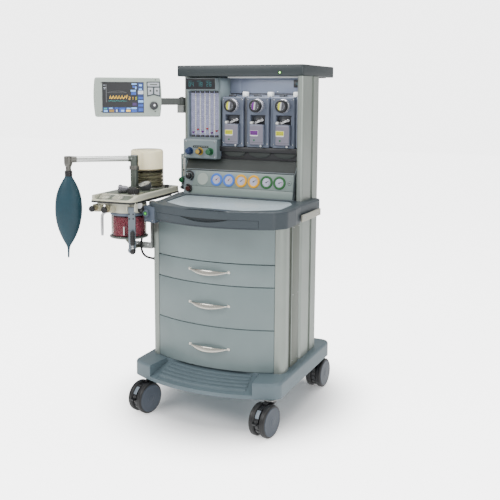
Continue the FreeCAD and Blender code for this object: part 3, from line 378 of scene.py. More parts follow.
class Piece:
    """One visible piece, put together from bevelled shapes in local millimetres."""

    def __init__(self, name, body="machine", place=None):
        self.name = name
        self.body = body
        self.place = place or Matrix.Identity(4)
        self.mesh = bmesh.new()
        self.materials = []

    def take(self, part, material, bevel=0.0, segments=2, shift=None):
        bmesh.ops.remove_doubles(part, verts=part.verts, dist=1e-4)
        bmesh.ops.recalc_face_normals(part, faces=part.faces)
        if bevel:
            sharp = [e for e in part.edges if e.is_manifold and e.calc_face_angle() > 0.55]
            bmesh.ops.bevel(part, geom=sharp, offset=bevel, segments=segments, affect="EDGES",
                            profile=0.5, clamp_overlap=True)
        if shift is not None:
            bmesh.ops.transform(part, matrix=shift, verts=part.verts)
        if material not in self.materials:
            self.materials.append(material)
        index = self.materials.index(material)
        for face in part.faces:
            face.material_index = index
            face.smooth = True
        holder = bpy.data.meshes.new("part")
        part.to_mesh(holder)
        part.free()
        self.mesh.from_mesh(holder)
        bpy.data.meshes.remove(holder)
        return self

    def box(self, x, y, z, material, bevel=1.0, shift=None):
        part = bmesh.new()
        grid_faces(part, [[(*corner, h) for corner in rectangle(x, y)] for h in z])
        return self.take(part, material, bevel, shift=shift)

    def prism(self, corners, z, material, bevel=0.8, shift=None, steps=5):
        """Upright plate over a rounded outline."""
        part = bmesh.new()
        flat = rounded_outline(corners, steps)
        grid_faces(part, [[(p.x, p.y, h) for p in flat] for h in z])
        return self.take(part, material, bevel, shift=shift)

    def plate(self, x, y, radius, z, material, bevel=0.8, shift=None, steps=5):
        """Upright plate over a rectangle with rounded corners; a pair of radii is for low and high y."""
        low, high = radius if isinstance(radius, tuple) else (radius, radius)
        corners = [(*corner, r) for corner, r in zip(rectangle(x, y), (low, low, high, high))]
        return self.prism(corners, z, material, bevel, shift, steps)

    def ribs(self, angles, x, y, z, material, bevel=0):
        """The same small box at each of some angles round the piece's z, in degrees."""
        for angle in angles:
            self.box(x, y, z, material, bevel=bevel, shift=turned(angle))

    def lathe(self, profile, material, at=(0, 0, 0), axis=(0, 0, 1), segments=40, rounding=0.8):
        """Solid of revolution over (along the axis, radius) points, closed to the axis at both ends."""
        part = bmesh.new()
        (first, low), (last, high) = profile[0], profile[-1]
        start = [(first, 0)] if low > ON_AXIS else []
        end = [(last, 0)] if high > ON_AXIS else []
        rings = []
        for along, radius in rounded_profile([*start, *profile, *end], rounding):
            rings.append([(*spot, along) for spot in circle(max(radius, ON_AXIS), segments)])
        grid_faces(part, rings, open_ends=True)
        turn = Vector((0, 0, 1)).rotation_difference(Vector(axis)).to_matrix().to_4x4()
        return self.take(part, material, shift=Matrix.Translation(Vector(at)) @ turn)

    def tube(self, points, radius, material, segments=14):
        """Round bar along a line of points."""
        part = bmesh.new()
        points = [Vector(p) for p in points]
        rings = []
        side = None
        for i, p in enumerate(points):
            ahead = points[min(i + 1, len(points) - 1)] - points[max(i - 1, 0)]
            ahead.normalize()
            if side is None:
                side = ahead.orthogonal().normalized()
            side = (side - ahead * side.dot(ahead)).normalized()
            other = ahead.cross(side)
            size = radius[i] if isinstance(radius, list) else radius
            rings.append([p + side * a + other * b for a, b in circle(size, segments)])
        grid_faces(part, rings)
        return self.take(part, material, bevel=0.3, segments=1)

    def ball(self, at, radius, material):
        half_turn = [math.pi * i / 14 for i in range(15)]
        profile = [(-radius * math.cos(a), radius * math.sin(a)) for a in half_turn]
        return self.lathe(profile, material, at=at, segments=28, rounding=0.0)

    def loft(self, rings, material, bevel=0.0):
        part = bmesh.new()
        grid_faces(part, rings)
        return self.take(part, material, bevel)

    def done(self, replaces=(), sharp=40.0):
        bmesh.ops.transform(self.mesh, matrix=Matrix.Scale(MM, 4) @ self.place, verts=self.mesh.verts)
        mesh = bpy.data.meshes.new(self.name)
        self.mesh.to_mesh(mesh)
        self.mesh.free()
        mesh.set_sharp_from_angle(angle=math.radians(sharp))
        piece = bpy.data.objects.new(self.name, mesh)
        for material in self.materials:
            mesh.materials.append(material)
        bpy.context.scene.collection.objects.link(piece)
        if self.body:
            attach(piece, self.body)
        if replaces:
            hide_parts(*replaces)
        return piece


def dress(node, material):
    """Give a CAD node its material."""
    slots = frame["nodes"][node].data.materials
    slots.clear()
    slots.append(material)


# ---- CAD nodes that keep their shape ---------------------------------------------------------
def dress_cad_nodes():
    finishes = (
        (SLATE, ("base_platform",)),
        (APRON, ("worktop", "writing_slide")),
        (OUTLET, ("outlet_block",)),
        (PANEL, ("upper_front_panel",)),
        (SIDE_PANEL, ("cabinet_shell",)),
        (STEEL, ("drawer_tray_1", "drawer_tray_2", "drawer_tray_3")),
        (BARE_STEEL, ("drawer_slides",)),
        (STRUT, ("side_brackets",)),
        (RIM_GREY, ("accessory_rail",)),
        (EXTRUSION, ("frame_columns",)),
        (CHARCOAL, tuple("castor_fork_" + c for c in ("fl", "fr", "rl", "rr"))),
        (CHARCOAL, ("brake_pedal_fl", "brake_pedal_fr")),
        (BACK_WALL, ("back_panel",)),
        (MODULE, ("flowmeter_housing", "gauge_panel", "aux_flowmeter")),
        (VAPOR_PAINT, ("vaporizer_bodies", "back_bar")),
        (MONITOR_SHELL, ("monitor_head",)),
        (ARM_PAINT, ("monitor_arm",)),
        (IVORY, ("absorber_plate",)),
        (POST_METAL, ("bag_post",)),
        (TUBE_SILVER_AND_REFLECTION, ("bag_arm",)),
        (LEVER_METAL, ("canister_lever",)),
        (FLUSH_RED, ("flush_button",)),
        (BLACK, ("main_switch",)),
        (RUBBER, ("bellows_disc",)),
    )
    for material, names in finishes:
        for name in names:
            dress(name, material)


# ---- small repeated details ------------------------------------------------------------------
SEGMENTS_OF_DIGIT = ("abcdef", "bc", "abged", "abgcd", "fgbc", "afgcd", "afgedc", "abc", "abcdefg", "abfgcd")


def digit(piece, value, x, y, tall, material, z=0.0):
    """Seven-segment digit, its lower left corner at (x, y) of the piece's face."""
    wide, bar = tall * 0.5, tall * 0.11
    half = tall / 2
    bars = {"a": (0, tall - bar, wide, tall), "g": (0, half - bar / 2, wide, half + bar / 2),
            "d": (0, 0, wide, bar), "f": (0, half, bar, tall), "b": (wide - bar, half, wide, tall),
            "e": (0, 0, bar, half), "c": (wide - bar, 0, wide, half)}
    for key in SEGMENTS_OF_DIGIT[value]:
        x0, y0, x1, y1 = bars[key]
        piece.box((x + x0, x + x1), (y + y0, y + y1), (z, z + 0.3), material, bevel=0)


def screw(piece, x, y, radius, z=0.0, metal=CHROME):
    """Pan-head screw with a cross recess, on the piece's face."""
    piece.lathe([(z - 0.5, radius), (z + 0.9, radius), (z + 1.5, radius * 0.6)], metal, at=(x, y, 0),
                segments=20)
    arm = radius * 0.62
    for wide, tall in ((arm, arm * 0.22), (arm * 0.22, arm)):
        piece.box((x - wide, x + wide), (y - tall, y + tall), (z + 1.45, z + 1.62), BLACK, bevel=0)


def screws(piece, xs, ys, radius=3.2, z=0.0, metal=CHROME):
    """A screw where each column crosses each row."""
    for x in xs:
        for y in ys:
            screw(piece, x, y, radius, z, metal)


def dial_ticks(piece, count, step, radius, lengths, half, z):
    """Scale of a round dial, clockwise from its lower left, every fifth tick longer."""
    for k in range(count):
        length = lengths[0] if k % 5 == 0 else lengths[1]
        piece.ribs((135 - step * k,), (-half, half), (radius - length, radius), z, BLACK)


def fluted(radius, depth, count, steps_per_flute=6):
    """Outline of a gripped knob."""
    total = count * steps_per_flute
    outline = []
    for i in range(total):
        angle = 2 * math.pi * i / total
        r = radius - depth * (0.5 - 0.5 * math.cos(count * angle)) ** 2
        outline.append((r * math.cos(angle), r * math.sin(angle)))
    return outline


def gripped_knob(piece, radius, z0, z1, count, material, depth=1.0):
    """Knob with flutes round its side and a domed top, along the piece's z."""
    rings = []
    rim = 0.12 * (z1 - z0) + 0.6
    for z, shrink in ((z0, 0.6), (z0 + 0.6, 0.0), (z1 - rim, 0.0), (z1 - rim * 0.3, rim * 0.35),
                      (z1, rim * 1.1), (z1 + 0.4, radius * 0.6)):
        outline = fluted(radius - shrink, depth if shrink < 1 else depth * 0.4, count)
        rings.append([(x, y, z) for x, y in outline])
    piece.loft(rings, material)


# ---- top shelf ----------------------------------------------------------------------------
SHELF_Z = (1344.0, 1390.0)
SHELF_DISH = 4.0
LED_X = 185.0


def top_shelf():
    low, high = lo_hi("top_shelf")
    piece = Piece("canopy")
    x0, x1, y0, y1 = low.x, high.x, low.y, high.y

    def rim(inset, z):
        radius = 10 - inset * 0.4
        corners = [(x0 + inset, y0 + inset, radius), (x1 - inset, y0 + inset, radius),
                   (x1 - inset, y1 - inset, radius), (x0 + inset, y1 - inset, radius)]
        return [(p.x, p.y, z) for p in rounded_outline(corners)]

    z0, z1 = SHELF_Z
    rings = [rim(3, z0), rim(1, z0 + 0.8), rim(0, z0 + 3), rim(0, z1 - 3.5), rim(1, z1 - 0.9), rim(3.5, z1),
             rim(9, z1), rim(11, z1 - 0.8), rim(12, z1 - SHELF_DISH)]
    piece.loft(rings, SHELF_GREY)
    piece.done(replaces=["top_shelf"], sharp=50)

    lamp = Piece("canopy_lamp")
    lamp.box((-69, 249), (96, 149), (1338.4, 1344), WHITE, bevel=1.5)
    lamp.box((-63, 243), (101, 144), (1337.4, 1339), LAMP_LIGHT, bevel=1.2)
    lamp.done()

    light = Piece("power_light", place=facing((LED_X, y0, 1358), FORWARD))
    light.lathe([(-0.5, 8.5), (1.4, 8.2), (1.8, 6.8), (0.9, 5.2)], BLACK)
    light.lathe([(0.5, 5.2), (1.5, 5.0), (1.9, 3.0)], LED_GREEN)
    light.lathe([(0.8, 3.0), (2.4, 2.4), (3.0, 0)], LED_WHITE)
    light.done()

    under = Piece("canopy_trim")
    for x in (x0 + 40, x1 - 40):
        under.box((x - 14, x + 14), (y0 + 170, y1 - 30), (z0 - 3, z0 + 1), DARK_GREY, bevel=1)
    under.done()


# ---- flowmeters ---------------------------------------------------------------------------
FLOW_X = (-258.0, -100.0)
TUBE_COUNT = 6
TUBE_PITCH = 22.4
TUBE_Z = (1090.0, 1284.0)
FLOW_KNOBS = (("blue", BLUE, BLUE), ("yellow", GOLD, DARK_GREY), ("green", GREEN, GREEN))


def flow_display():
    x0, x1 = FLOW_X
    piece = Piece("flow_display", place=facing((x0 + 10, 60, 1290), FORWARD))
    wide = x1 - x0 - 18
    piece.box((1, wide - 1), (1.5, 46.5), (-0.5, 1.2), BLACK, bevel=0.8)
    piece.box((5, wide - 5), (5, 43), (1.0, 1.5), SCREEN, bevel=0)
    group = (wide - 14) / 3
    for i, number in enumerate(((0, 4), (1, 8), (2, 6))):
        left = 9 + group * i
        piece.box((left - 1, left + group - 4), (8, 40), (1.4, 1.6), SCREEN, bevel=0)
        for k, value in enumerate(number):
            digit(piece, value, left + 6 + 14 * k, 13, 18, DIGIT_DIM, z=1.7)
        piece.box((left + 3, left + 22), (34.5, 36), (1.6, 1.9), DIGIT_DIM, bevel=0)
    piece.done()


def flow_tubes():
    x0, x1 = FLOW_X
    low, high = lo_hi("flow_tubes")
    y = (low.y + high.y) / 2
    radius = (high.y - low.y) / 2
    z0, z1 = TUBE_Z
    panel = Piece("tube_backlight", place=facing((x0, 110, z0), FORWARD))
    panel.box((9, x1 - x0 - 9), (1, z1 - z0 - 1), (-0.5, 1.2), TUBE_LIGHT, bevel=0.4)
    panel.done()

    tubes = Piece("flow_tube_set")
    floats = Piece("flow_floats")
    scale = Piece("flow_scales", place=facing((0, 101.5, 0), FORWARD))
    for i in range(TUBE_COUNT):
        x = x0 + 24 + TUBE_PITCH * i
        tubes.lathe([(0, radius), (z1 - z0 - 1, radius)], CLEAR, at=(x, y, z0 + 0.5), segments=24)
        for z, tall in ((z0, 9), (z1 - 8, 8)):
            tubes.lathe([(0, radius + 1.2), (tall, radius + 1.2)], DARK_GREY, at=(x, y, z), segments=24)
        height = (14, 26, 17, 30, 13, 21)[i]
        bob = RED if i % 2 else PURPLE
        floats.lathe([(0, 0), (4, 3.2), (7, 5.2), (9, 5.2)], bob, at=(x, y, z0 + height), segments=20)
        tick_x = x + radius + 2.2
        scale.box((tick_x - 1.2, tick_x + 5.2), (z0 + 10, z1 - 10), (-0.4, 0.2), WHITE, bevel=0)
        for k in range(21):
            z = z0 + 14 + 8 * k
            wide = 5.0 if k % 5 == 0 else 2.8
            scale.box((tick_x - 1, tick_x - 1 + wide), (z, z + 1.2), (0.2, 0.5), DARK_GREY, bevel=0)
    tubes.done(replaces=["flow_tubes"])
    floats.done()
    scale.done()


def flow_knobs():
    x0, x1 = FLOW_X
    legend = Piece("flow_legend", place=facing((0, 56, 0), FORWARD))
    legend.plate((-212, -138), (1047, 1056), 1.5, (-0.3, 0.8), BLACK, bevel=0.3)
    for i in range(9):
        x = -206 + 8 * i
        legend.box((x, x + 4.5), (1050, 1053), (0.8, 1.0), FACEPLATE, bevel=0)
    for number, (_, cap, _) in enumerate(FLOW_KNOBS, 1):
        at, _ = joint_at("flow_turn_%d" % number)
        legend.lathe([(-0.4, 16.5), (0.8, 16.5), (1.2, 15.5)], cap, at=(at.x, at.z, 0))
    screws(legend, (x0 + 10, x1 - 10), (1072, 1010))
    legend.done()
    for number, (gas, cap, skirt) in enumerate(FLOW_KNOBS, 1):
        node = "flow_knob_%d" % number
        low, high = lo_hi(node)
        centre = (low + high) / 2
        knob = Piece(node + "_cap", "flow_control_%d" % number, facing((centre.x, high.y, centre.z), FORWARD))
        deep = high.y - low.y
        knob.lathe([(1, 5), (8, 5)], CHROME, segments=20)
        gripped_knob(knob, 12.4, 6, deep - 1, 14, skirt, depth=1.4)
        knob.lathe([(deep - 1.5, 9.6), (deep - 0.2, 9.0), (deep, 7.5)], cap)
        knob.done(replaces=[node])


def auxiliary_flowmeter():
    piece = Piece("aux_tube", place=facing(lo_hi("aux_flowmeter")[0], FORWARD))
    piece.plate((12, 24), (60, 148), 2, (-0.4, 1.2), WHITE, bevel=0.4)
    piece.lathe([(0, 4), (78, 4)], CLEAR, at=(18, 65, 3.4), axis=(0, 1, 0), segments=20)
    piece.lathe([(0, 0), (2, 2.6), (6, 2.6)], BLACK, at=(18, 82, 3.4), axis=(0, 1, 0), segments=16)
    for k in range(12):
        piece.box((20.5, 23 if k % 3 else 24), (70 + 6 * k, 70.8 + 6 * k), (1.2, 1.4), DARK_GREY, bevel=0)
    piece.lathe([(0, 7.5), (6, 7.5), (8, 5)], BLACK, at=(18, 152, -14), axis=(0, 1, 0))
    piece.lathe([(-1, 6), (10, 6), (14, 4.5), (22, 4.5)], CHROME, at=(11, 12, 0), segments=24)
    piece.done()
    at, _ = joint_at("aux_turn")
    knob = Piece("aux_knob_cap", "aux_control", facing((at.x, 78, at.z), FORWARD))
    gripped_knob(knob, 12.0, 0.8, 16.5, 12, GREEN, depth=1.3)
    knob.lathe([(-12, 3.9), (2, 3.9)], CHROME, segments=20)
    knob.done(replaces=["aux_knob"])


# ---- back wall ----------------------------------------------------------------------------
def back_wall():
    y = lo_hi("back_panel")[0].y
    left = Piece("back_wall_sheet", place=facing((0, y, 0), FORWARD))
    left.plate((-98, -49), (1276, 1342), 1, (-0.4, 2.2), BACK_WALL)
    left.plate((-46, 256), (1276, 1342), 1, (-0.4, 1.6), BACK_WALL)
    left.plate((-98, 256), (858, 1270), 1, (-0.4, 1.6), BACK_WALL)
    left.box((-98, 256), (1270.4, 1275.6), (-0.4, 0.9), DARK_GREY, bevel=0.3)
    screws(left, (-40, 120, 250), (1282,), 2.6, z=1.6)
    left.done()
    small = Piece("back_display", place=facing((210, y, 1315), FORWARD))
    small.plate((-19, 19), (-15, 15), 3, (0, 4.5), BLACK, bevel=0.8)
    small.box((-15, 15), (-11, 11), (4.4, 4.8), SCREEN, bevel=0.2)
    for i in range(3):
        digit(small, (1, 2, 8)[i], -11 + 8 * i, -5, 10, DIGIT_DIM, z=4.9)
    small.done()


# ---- vaporizers ---------------------------------------------------------------------------
VAPOR_X = (-39.0, 75.0, 189.0)
VAPOR_FRONT_Y = 80.0
VAPOR_LOW = 1056.0
AGENT = (YELLOW, PURPLE, YELLOW)
SIDE_STRIP = ((63, RECESS_SHADE), (63, VAPOR_PAINT), (72, VAPOR_SIDE_LIT))   # how far right it reaches, and paint: a dark grey, the body's own grey and a bright grey, as painted shade and painted highlight on the sides
FILLER_TILT = 24.0       # degrees
POINTER_TILT = -6.0


def vaporizer_details(number, x, agent):
    """Filler, label, lock lever and recess of one vaporizer, on its front."""
    piece = Piece("vaporizer_filler_%d" % number, place=facing((x, VAPOR_FRONT_Y, VAPOR_LOW), FORWARD))
    # lining of the filler recess, dark as painted shade, with the filler bung and its lever
    piece.plate((-31, 35), (93, 131), (4, 14), (-21.8, -20.5), RECESS_SHADE, bevel=0.4)
    piece.plate((-12, 16), (99, 118), (5, 9), (-21, -7), DARK_GREY, bevel=1.5)
    tilted = Matrix.Translation((2, 104, -2)) @ turned(FILLER_TILT)
    piece.prism([(-16, -4, 3.9), (22, -3, 2.9), (22, 4, 2.9), (-16, 4, 3.9)], (-3, 3), CHROME, bevel=1.2,
                shift=tilted)
    piece.lathe([(-8, 7), (3, 7), (4.5, 5)], CHROME, at=(20, 112, -2), segments=28)
    piece.lathe([(-12, 6.5), (5, 6.5), (7.5, 4.5), (8, 0)], WHITE, at=(-24, 100, 4), segments=28)
    piece.box((-24, 26), (91.5, 94.8), (0, 14), FILLER, bevel=1.2)
    # cheeks of the recess, which round its corners
    piece.prism([(-34, 90, 2), (-30, 90, 1), (-30, 128, 3), (-34, 132, 2)], (-18, 1.6), VAPOR_PAINT)
    piece.prism([(34, 90, 1), (38, 90, 2), (38, 132, 2), (34, 126, 3)], (-18, 1.6), VAPOR_PAINT)
    # filler block with its agent label and drop mark
    face = 16.2
    piece.plate((-27, 31), (12, 90), 4, (15, face), FILLER, bevel=0.6)
    piece.plate((-26, 10), (46, 70), (5, 1.5), (face, face + 0.9), WHITE, bevel=0.3)
    piece.plate((-25, 9), (51, 69), (2, 1), (face + 0.8, face + 1.3), agent, bevel=0.2)
    for row in range(2):
        for k in range(4):
            left = -21 + 7 * k
            piece.box((left, left + 5), (56 + 6 * row, 58 + 6 * row), (face + 1.2, face + 1.5), DARK_GREY,
                      bevel=0)
    piece.lathe([(face - 0.2, 4.2), (face + 0.8, 3.8), (face + 1, 0)], GREEN, at=(-8, 30, 0), segments=24)
    piece.box((-27, 31), (20.5, 21.5), (face - 0.4, face + 0.2), DARK_GREY, bevel=0)
    piece.lathe([(0, 5), (9, 5), (10, 3.5)], CHROME, at=(20, 6, 4), segments=24)
    # lock lever and carrying lug on the top
    piece.plate((16, 37), (206, 226), (2, 4), (-88, -64), WHITE, bevel=2)
    piece.plate((-30, -6), (206, 213), 2, (-60, -26), DARK_GREY, bevel=1.5)
    reach, side_paint = SIDE_STRIP[number - 1]
    # side strip, darker on the first vaporizer and brighter on the third: painted shade and painted highlight
    piece.box((50.2, reach), (2, 204), (-106, -14), side_paint, bevel=1.5)
    screws(piece, (-42, 42), (14, 194), 2.8)
    piece.done()


def vaporizer_dial(number, agent):
    """Silver skirt, black ring and a two-tone pointer grip."""
    node = "vaporizer_dial_%d" % number
    at, _ = joint_at("dial_turn_%d" % number)
    dial = Piece(node + "_cap", "dial_%d" % number, facing((at.x, VAPOR_FRONT_Y, at.z), FORWARD))
    dial.lathe([(0.4, 28.4), (3, 28.8), (17, 28.0), (21, 25.5)], SKIRT, segments=56)
    dial.lathe([(20, 25.0), (23, 25.8), (35, 25.8), (38, 24.2), (38.6, 20), (36.8, 18.4)], BLACK, segments=56)
    dial.ribs(range(0, 360, 10), (25.0, 26.4), (-0.9, 0.9), (25.5, 35), BLACK, bevel=0.4)
    dial.lathe([(36, 18.6), (38.2, 17.8)], DIAL_DARK, segments=48)
    tilt = turned(POINTER_TILT)
    lens = [(-9.5 * math.sin(math.pi * k / 12), -16.5 * math.cos(math.pi * k / 12)) for k in range(13)]
    dial.prism(lens, (37.5, 46.5), agent, bevel=0.8, shift=tilt)
    dial.prism([(0.2, -16, 0.8), (3.8, -13, 2), (3.8, 13, 2), (0.2, 16, 0.8)], (37.5, 46.5), WHITE, bevel=0.8,
               shift=tilt)
    dial.ribs(range(35, 276, 30), (-0.4, 0.4), (14.0, 16.8), (38.1, 38.5), WHITE)
    dial.done(replaces=[node])


def vaporizer_bay():
    """Ledge and drip scoops under the vaporizers, and the cap of the gauge panel, painted near black as
    painted shade where they fall dark.
    """
    piece = Piece("vaporizer_ledge", place=facing((0, 95, 0), FORWARD))
    piece.plate((-99, 259), (1034, 1054), (3, 2), (-60, 12), LEDGE_SHADE, bevel=2)
    piece.plate((-97, 259), (1001, 1033), 1, (-8, 0.8), LEDGE_SHADE)
    cap = [(61.4, 957.2), (64.4, 961), (87.6, 1000.6), (95, 1001.6), (95, 999.6), (88.8, 999), (64, 956.6)]
    piece.loft([[(x, z, 95 - y) for y, z in cap] for x in (-251, 250)], PANEL_CAP_SHADE, bevel=0.5)
    for x in VAPOR_X:
        arc = [(x + 6 - 50 * math.cos(math.pi * k / 8), 1034 - 22 * math.sin(math.pi * k / 8))
               for k in range(8, -1, -1)]
        piece.prism(arc, (-40, 6), PANEL_CAP_SHADE, bevel=1.5)
    piece.done()


def vaporizers():
    for number, (x, agent) in enumerate(zip(VAPOR_X, AGENT), 1):
        vaporizer_details(number, x, agent)
        vaporizer_dial(number, agent)
    vaporizer_bay()


# ---- gauge panel --------------------------------------------------------------------------
GAUGE_PITCH = 57.0
GAUGE_FIRST_X = -99.0
GAUGE_R = 27.0
GAUGE_RINGS = (RING_BLUE, RING_BLUE, RING_YELLOW, RING_YELLOW, RING_GREEN, RING_GREEN)
NEEDLE_DEGREES = (48, 40, 55, 52, 60, 66)
PANEL_BOTTOM = (44.0, 850.0)     # y and z of the lower edge of the sloping face
PANEL_EDGE = (62.0, 956.0)       # its upper edge
GAUGE_Z = 916.0


def panel_place(x, z):
    """Local axes on the sloping gauge face."""
    (y0, z0), (y1, z1) = PANEL_BOTTOM, PANEL_EDGE
    share = (z - z0) / (z1 - z0)
    out = Vector((0, -(z1 - z0), y1 - y0))
    return facing((x, y0 + (y1 - y0) * share, z), out)


def gauge(number, x, z):
    piece = Piece("gauge_%d" % number, place=panel_place(x, z))
    ring = GAUGE_RINGS[number - 1]
    piece.lathe([(-6, GAUGE_R - 4), (0.2, GAUGE_R - 4), (0.2, GAUGE_R), (3.5, GAUGE_R), (5, GAUGE_R - 1.2),
                 (5, GAUGE_R - 8.2), (3.2, GAUGE_R - 9.4)], ring, segments=56)
    piece.lathe([(3, GAUGE_R - 9.2), (3.5, GAUGE_R - 9.4)], GAUGE_FACE, segments=48, rounding=0.1)
    dial_ticks(piece, 21, 13.5, 17.2, (3.6, 2.0), 0.25, (3.4, 3.65))
    zone = RED if number in (1, 2, 6) else ring
    piece.ribs(range(-80, -129, -8), (-0.9, 0.9), (12.2, 13.6), (3.4, 3.6), zone)
    needle = turned(-NEEDLE_DEGREES[number - 1])
    piece.prism([(-1.7, -5, 0.3), (1.7, -5, 0.3), (0.8, 14.0, 0.1), (-0.8, 14.0, 0.1)], (4.0, 4.5),
                RED if number in (1, 2) else DARK_GREY, bevel=0.1, shift=needle)
    piece.lathe([(3.4, 2.6), (5, 2.4), (5.2, 0)], BLACK, segments=24)
    return piece.done()


def gauge_panel():
    plate = Piece("gauge_faceplate", place=panel_place(0, PANEL_BOTTOM[1]))
    # the plate covers the sloping face, with a lower band under a thin seam
    top = 101.0
    plate.prism([(-214, 35.5, 2), (246, 35.5, 2), (246, top, 4), (-200, top, 10), (-206, 70, 20)], (0, 1.4),
                FACEPLATE, bevel=0.4)
    plate.prism([(-224, 3, 1), (246, 3, 1), (246, 34.2, 1), (-216, 34.2, 1)], (0, 1.2), FACEPLATE, bevel=0.4)
    plate.box((-220, 246), (34.0, 35.6), (-0.2, 0.5), DARK_GREY, bevel=0)
    plate.lathe([(1.2, 25.5), (2.6, 25), (2.8, 23.5), (2.4, 0)], BLANK, at=(-165, 66, 0), segments=56)
    icon_x = 229.5
    plate.lathe([(1.2, 9), (1.8, 9)], DARK_GREY, at=(icon_x, 68, 0), segments=40, rounding=0.1)
    plate.lathe([(1.7, 7.4), (2.0, 7.4)], FACEPLATE, at=(icon_x, 68, 0), segments=40, rounding=0.1)
    plate.prism([(icon_x - 4, 64.5), (icon_x + 4.5, 68), (icon_x - 4, 71.5)], (1.9, 2.3), DARK_GREY, bevel=0)
    screws(plate, (-190, 240), (40, 96), 1.9, z=1.4)
    plate.done()
    trim = Piece("gauge_trim", place=panel_place(0, PANEL_BOTTOM[1]))
    trim.plate((-252, 251), (102.5, 106.5), 1, (-1, 2), SHELF_GREY)
    trim.plate((247.5, 251.5), (2, 106), 1, (-1, 2.4), SHELF_GREY)
    # curved guards round the switch and the flush button
    for cx, cy, radius, start, sweep in ((-232, 76, 21, -60, 190), (-232, 22, 17, -70, 200)):
        path = [(cx + radius * math.cos(math.radians(start + sweep * k / 12)),
                 cy + radius * math.sin(math.radians(start + sweep * k / 12)), 4) for k in range(13)]
        trim.tube(path, [2.0 + 2.2 * math.sin(math.pi * k / 12) for k in range(13)], BLACK)
    trim.done()
    for i in range(len(GAUGE_RINGS)):
        gauge(i + 1, GAUGE_FIRST_X + GAUGE_PITCH * i, GAUGE_Z)
    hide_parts("pressure_gauges")
    at, _ = joint_at("switch_turn")
    knob = Piece("main_switch_cap", "switch", panel_place(at.x, at.z))
    gripped_knob(knob, 12.5, 0.6, 12.5, 16, BLACK)
    knob.plate((-2.6, 2.6), (-11, 11.5), 1.5, (12, 16), BLACK, bevel=1)
    knob.box((-0.6, 0.6), (2, 10.5), (15.9, 16.2), WHITE, bevel=0)
    knob.done(replaces=["main_switch"])


# ---- worktop ------------------------------------------------------------------------------
TRAY_FACE = 846.0
TRAY_OUTLINE = ((-226.5, 18.5, 20), (-194.7, -203.5, 50), (-59.5, -288.6, 90), (189.5, -288.6, 90),
                (294.6, -211.4, 50), (286.6, -60, 30), (249, 18.5, 20))


def worktop_details():
    inlay = Piece("tray_inlay")
    inlay.prism(TRAY_OUTLINE, (TRAY_FACE - 0.5, TRAY_FACE + 1.1), SLATE_TOP, bevel=0.5, steps=14)
    inlay.done()

    low, high = lo_hi("outlet_block")
    outlet = Piece("gas_outlet", place=facing((-244, low.y, 808), FORWARD))
    outlet.lathe([(-1, 12.4), (2.2, 12), (3, 9.6), (1.2, 9)], OUTLET)
    outlet.lathe([(1, 8.4), (2.4, 8)], GREEN, segments=28)
    outlet.lathe([(2, 4), (4, 3.4), (4.4, 0)], LED_GREEN, segments=24)
    outlet.done()
    cover = Piece("outlet_cover", place=facing((-234, low.y + 4, 790), (-0.22, -1, 0)))
    screws(cover, (-14, 22), (-8,), 2.2, z=0.5)
    cover.done()

    low, high = lo_hi("accessory_rail")
    rail = Piece("rail_caps", place=facing((high.x, (low.y + high.y) / 2, (low.z + high.z) / 2), (1, 0, 0)))
    half = (high.y - low.y) / 2
    for side in (-1, 1):
        edge = side * (half - 1)
        rail.plate((edge - 4, edge + 4), (-13.2, 13.2), 2, (-5.6, 0.6), RIM_GREY, bevel=0.6)
        screw(rail, side * (half - 33), 0, 3.4)
    rail.done()


# ---- cabinet ------------------------------------------------------------------------------
FRONT_BOW_R = 633.0
FRONT_BOW_Y = 423.0
FRONT_T = 20.0
HANDLE_Z = (590.0, 456.0, 282.0)
HANDLE_HALF = 88.0
HANDLE_DEPTH = 26.0
HANDLE_CREST = 7.4
HANDLE_KEEL = -13.0
HANDLE_BAR = 6.0


def bow_y(radius, x):
    """Depth of a bowed face at x."""
    return FRONT_BOW_Y - math.sqrt(radius ** 2 - x ** 2)


def bowed_front(piece, half_x, z):
    """Panel of even thickness, bowed forward, with softly rounded edges."""
    steps = 48
    across = [half_x * (2 * k / steps - 1) for k in range(steps + 1)]
    outer = [(x, bow_y(FRONT_BOW_R, x)) for x in across]
    inner = [(x, bow_y(FRONT_BOW_R - FRONT_T, x)) for x in reversed(across)]
    piece.prism(outer + inner, z, PANEL, bevel=1.8)


def squircle(angle, power=0.6):
    """Point of a rounded square of half width one."""
    c, s = math.cos(angle), math.sin(angle)
    return math.copysign(abs(c) ** power, c), math.copysign(abs(s) ** power, s)


def crescent_handle(piece, z):
    """Bow handle, tallest in the middle, whose tips meet the front."""
    foot_y = bow_y(FRONT_BOW_R, HANDLE_HALF)
    tip_y = FRONT_BOW_Y - FRONT_BOW_R - HANDLE_DEPTH
    radius = (HANDLE_HALF ** 2 + (foot_y - tip_y) ** 2) / (2 * (foot_y - tip_y))
    rings = []
    steps = 36
    for k in range(steps + 1):
        t = 2 * k / steps - 1
        x = HANDLE_HALF * t
        y = tip_y + radius - math.sqrt(radius ** 2 - x ** 2) + HANDLE_BAR / 2
        share = max(1 - t * t, 0.06)
        middle = z + (HANDLE_CREST + HANDLE_KEEL) / 2 * share
        half = (HANDLE_CREST - HANDLE_KEEL) / 2 * share
        ring = []
        for j in range(20):
            a, b = squircle(2 * math.pi * j / 20)
            ring.append((x, y + a * HANDLE_BAR / 2 + b * 2.0 * share, middle + b * half))
        rings.append(ring)
    piece.loft(rings, HANDLE_METAL)


def drawers():
    for number, handle_z in enumerate(HANDLE_Z, 1):
        node = "drawer_front_%d" % number
        low, high = lo_hi(node)
        front = Piece("drawer_%d_front" % number, "drawer_%d" % number)
        bowed_front(front, high.x, (low.z, high.z))
        front.done(replaces=[node], sharp=50)
        handle = Piece("drawer_%d_handle" % number, "drawer_%d" % number)
        crescent_handle(handle, handle_z)
        foot_y = bow_y(FRONT_BOW_R, HANDLE_HALF - 3)
        for side in (-1, 1):
            handle.plate((-6, 6), (-5, 5), 2, (-1, 1.4), HANDLE_METAL, bevel=0.5,
                         shift=facing((side * (HANDLE_HALF - 3), foot_y, handle_z), FORWARD))
        handle.done(sharp=50)


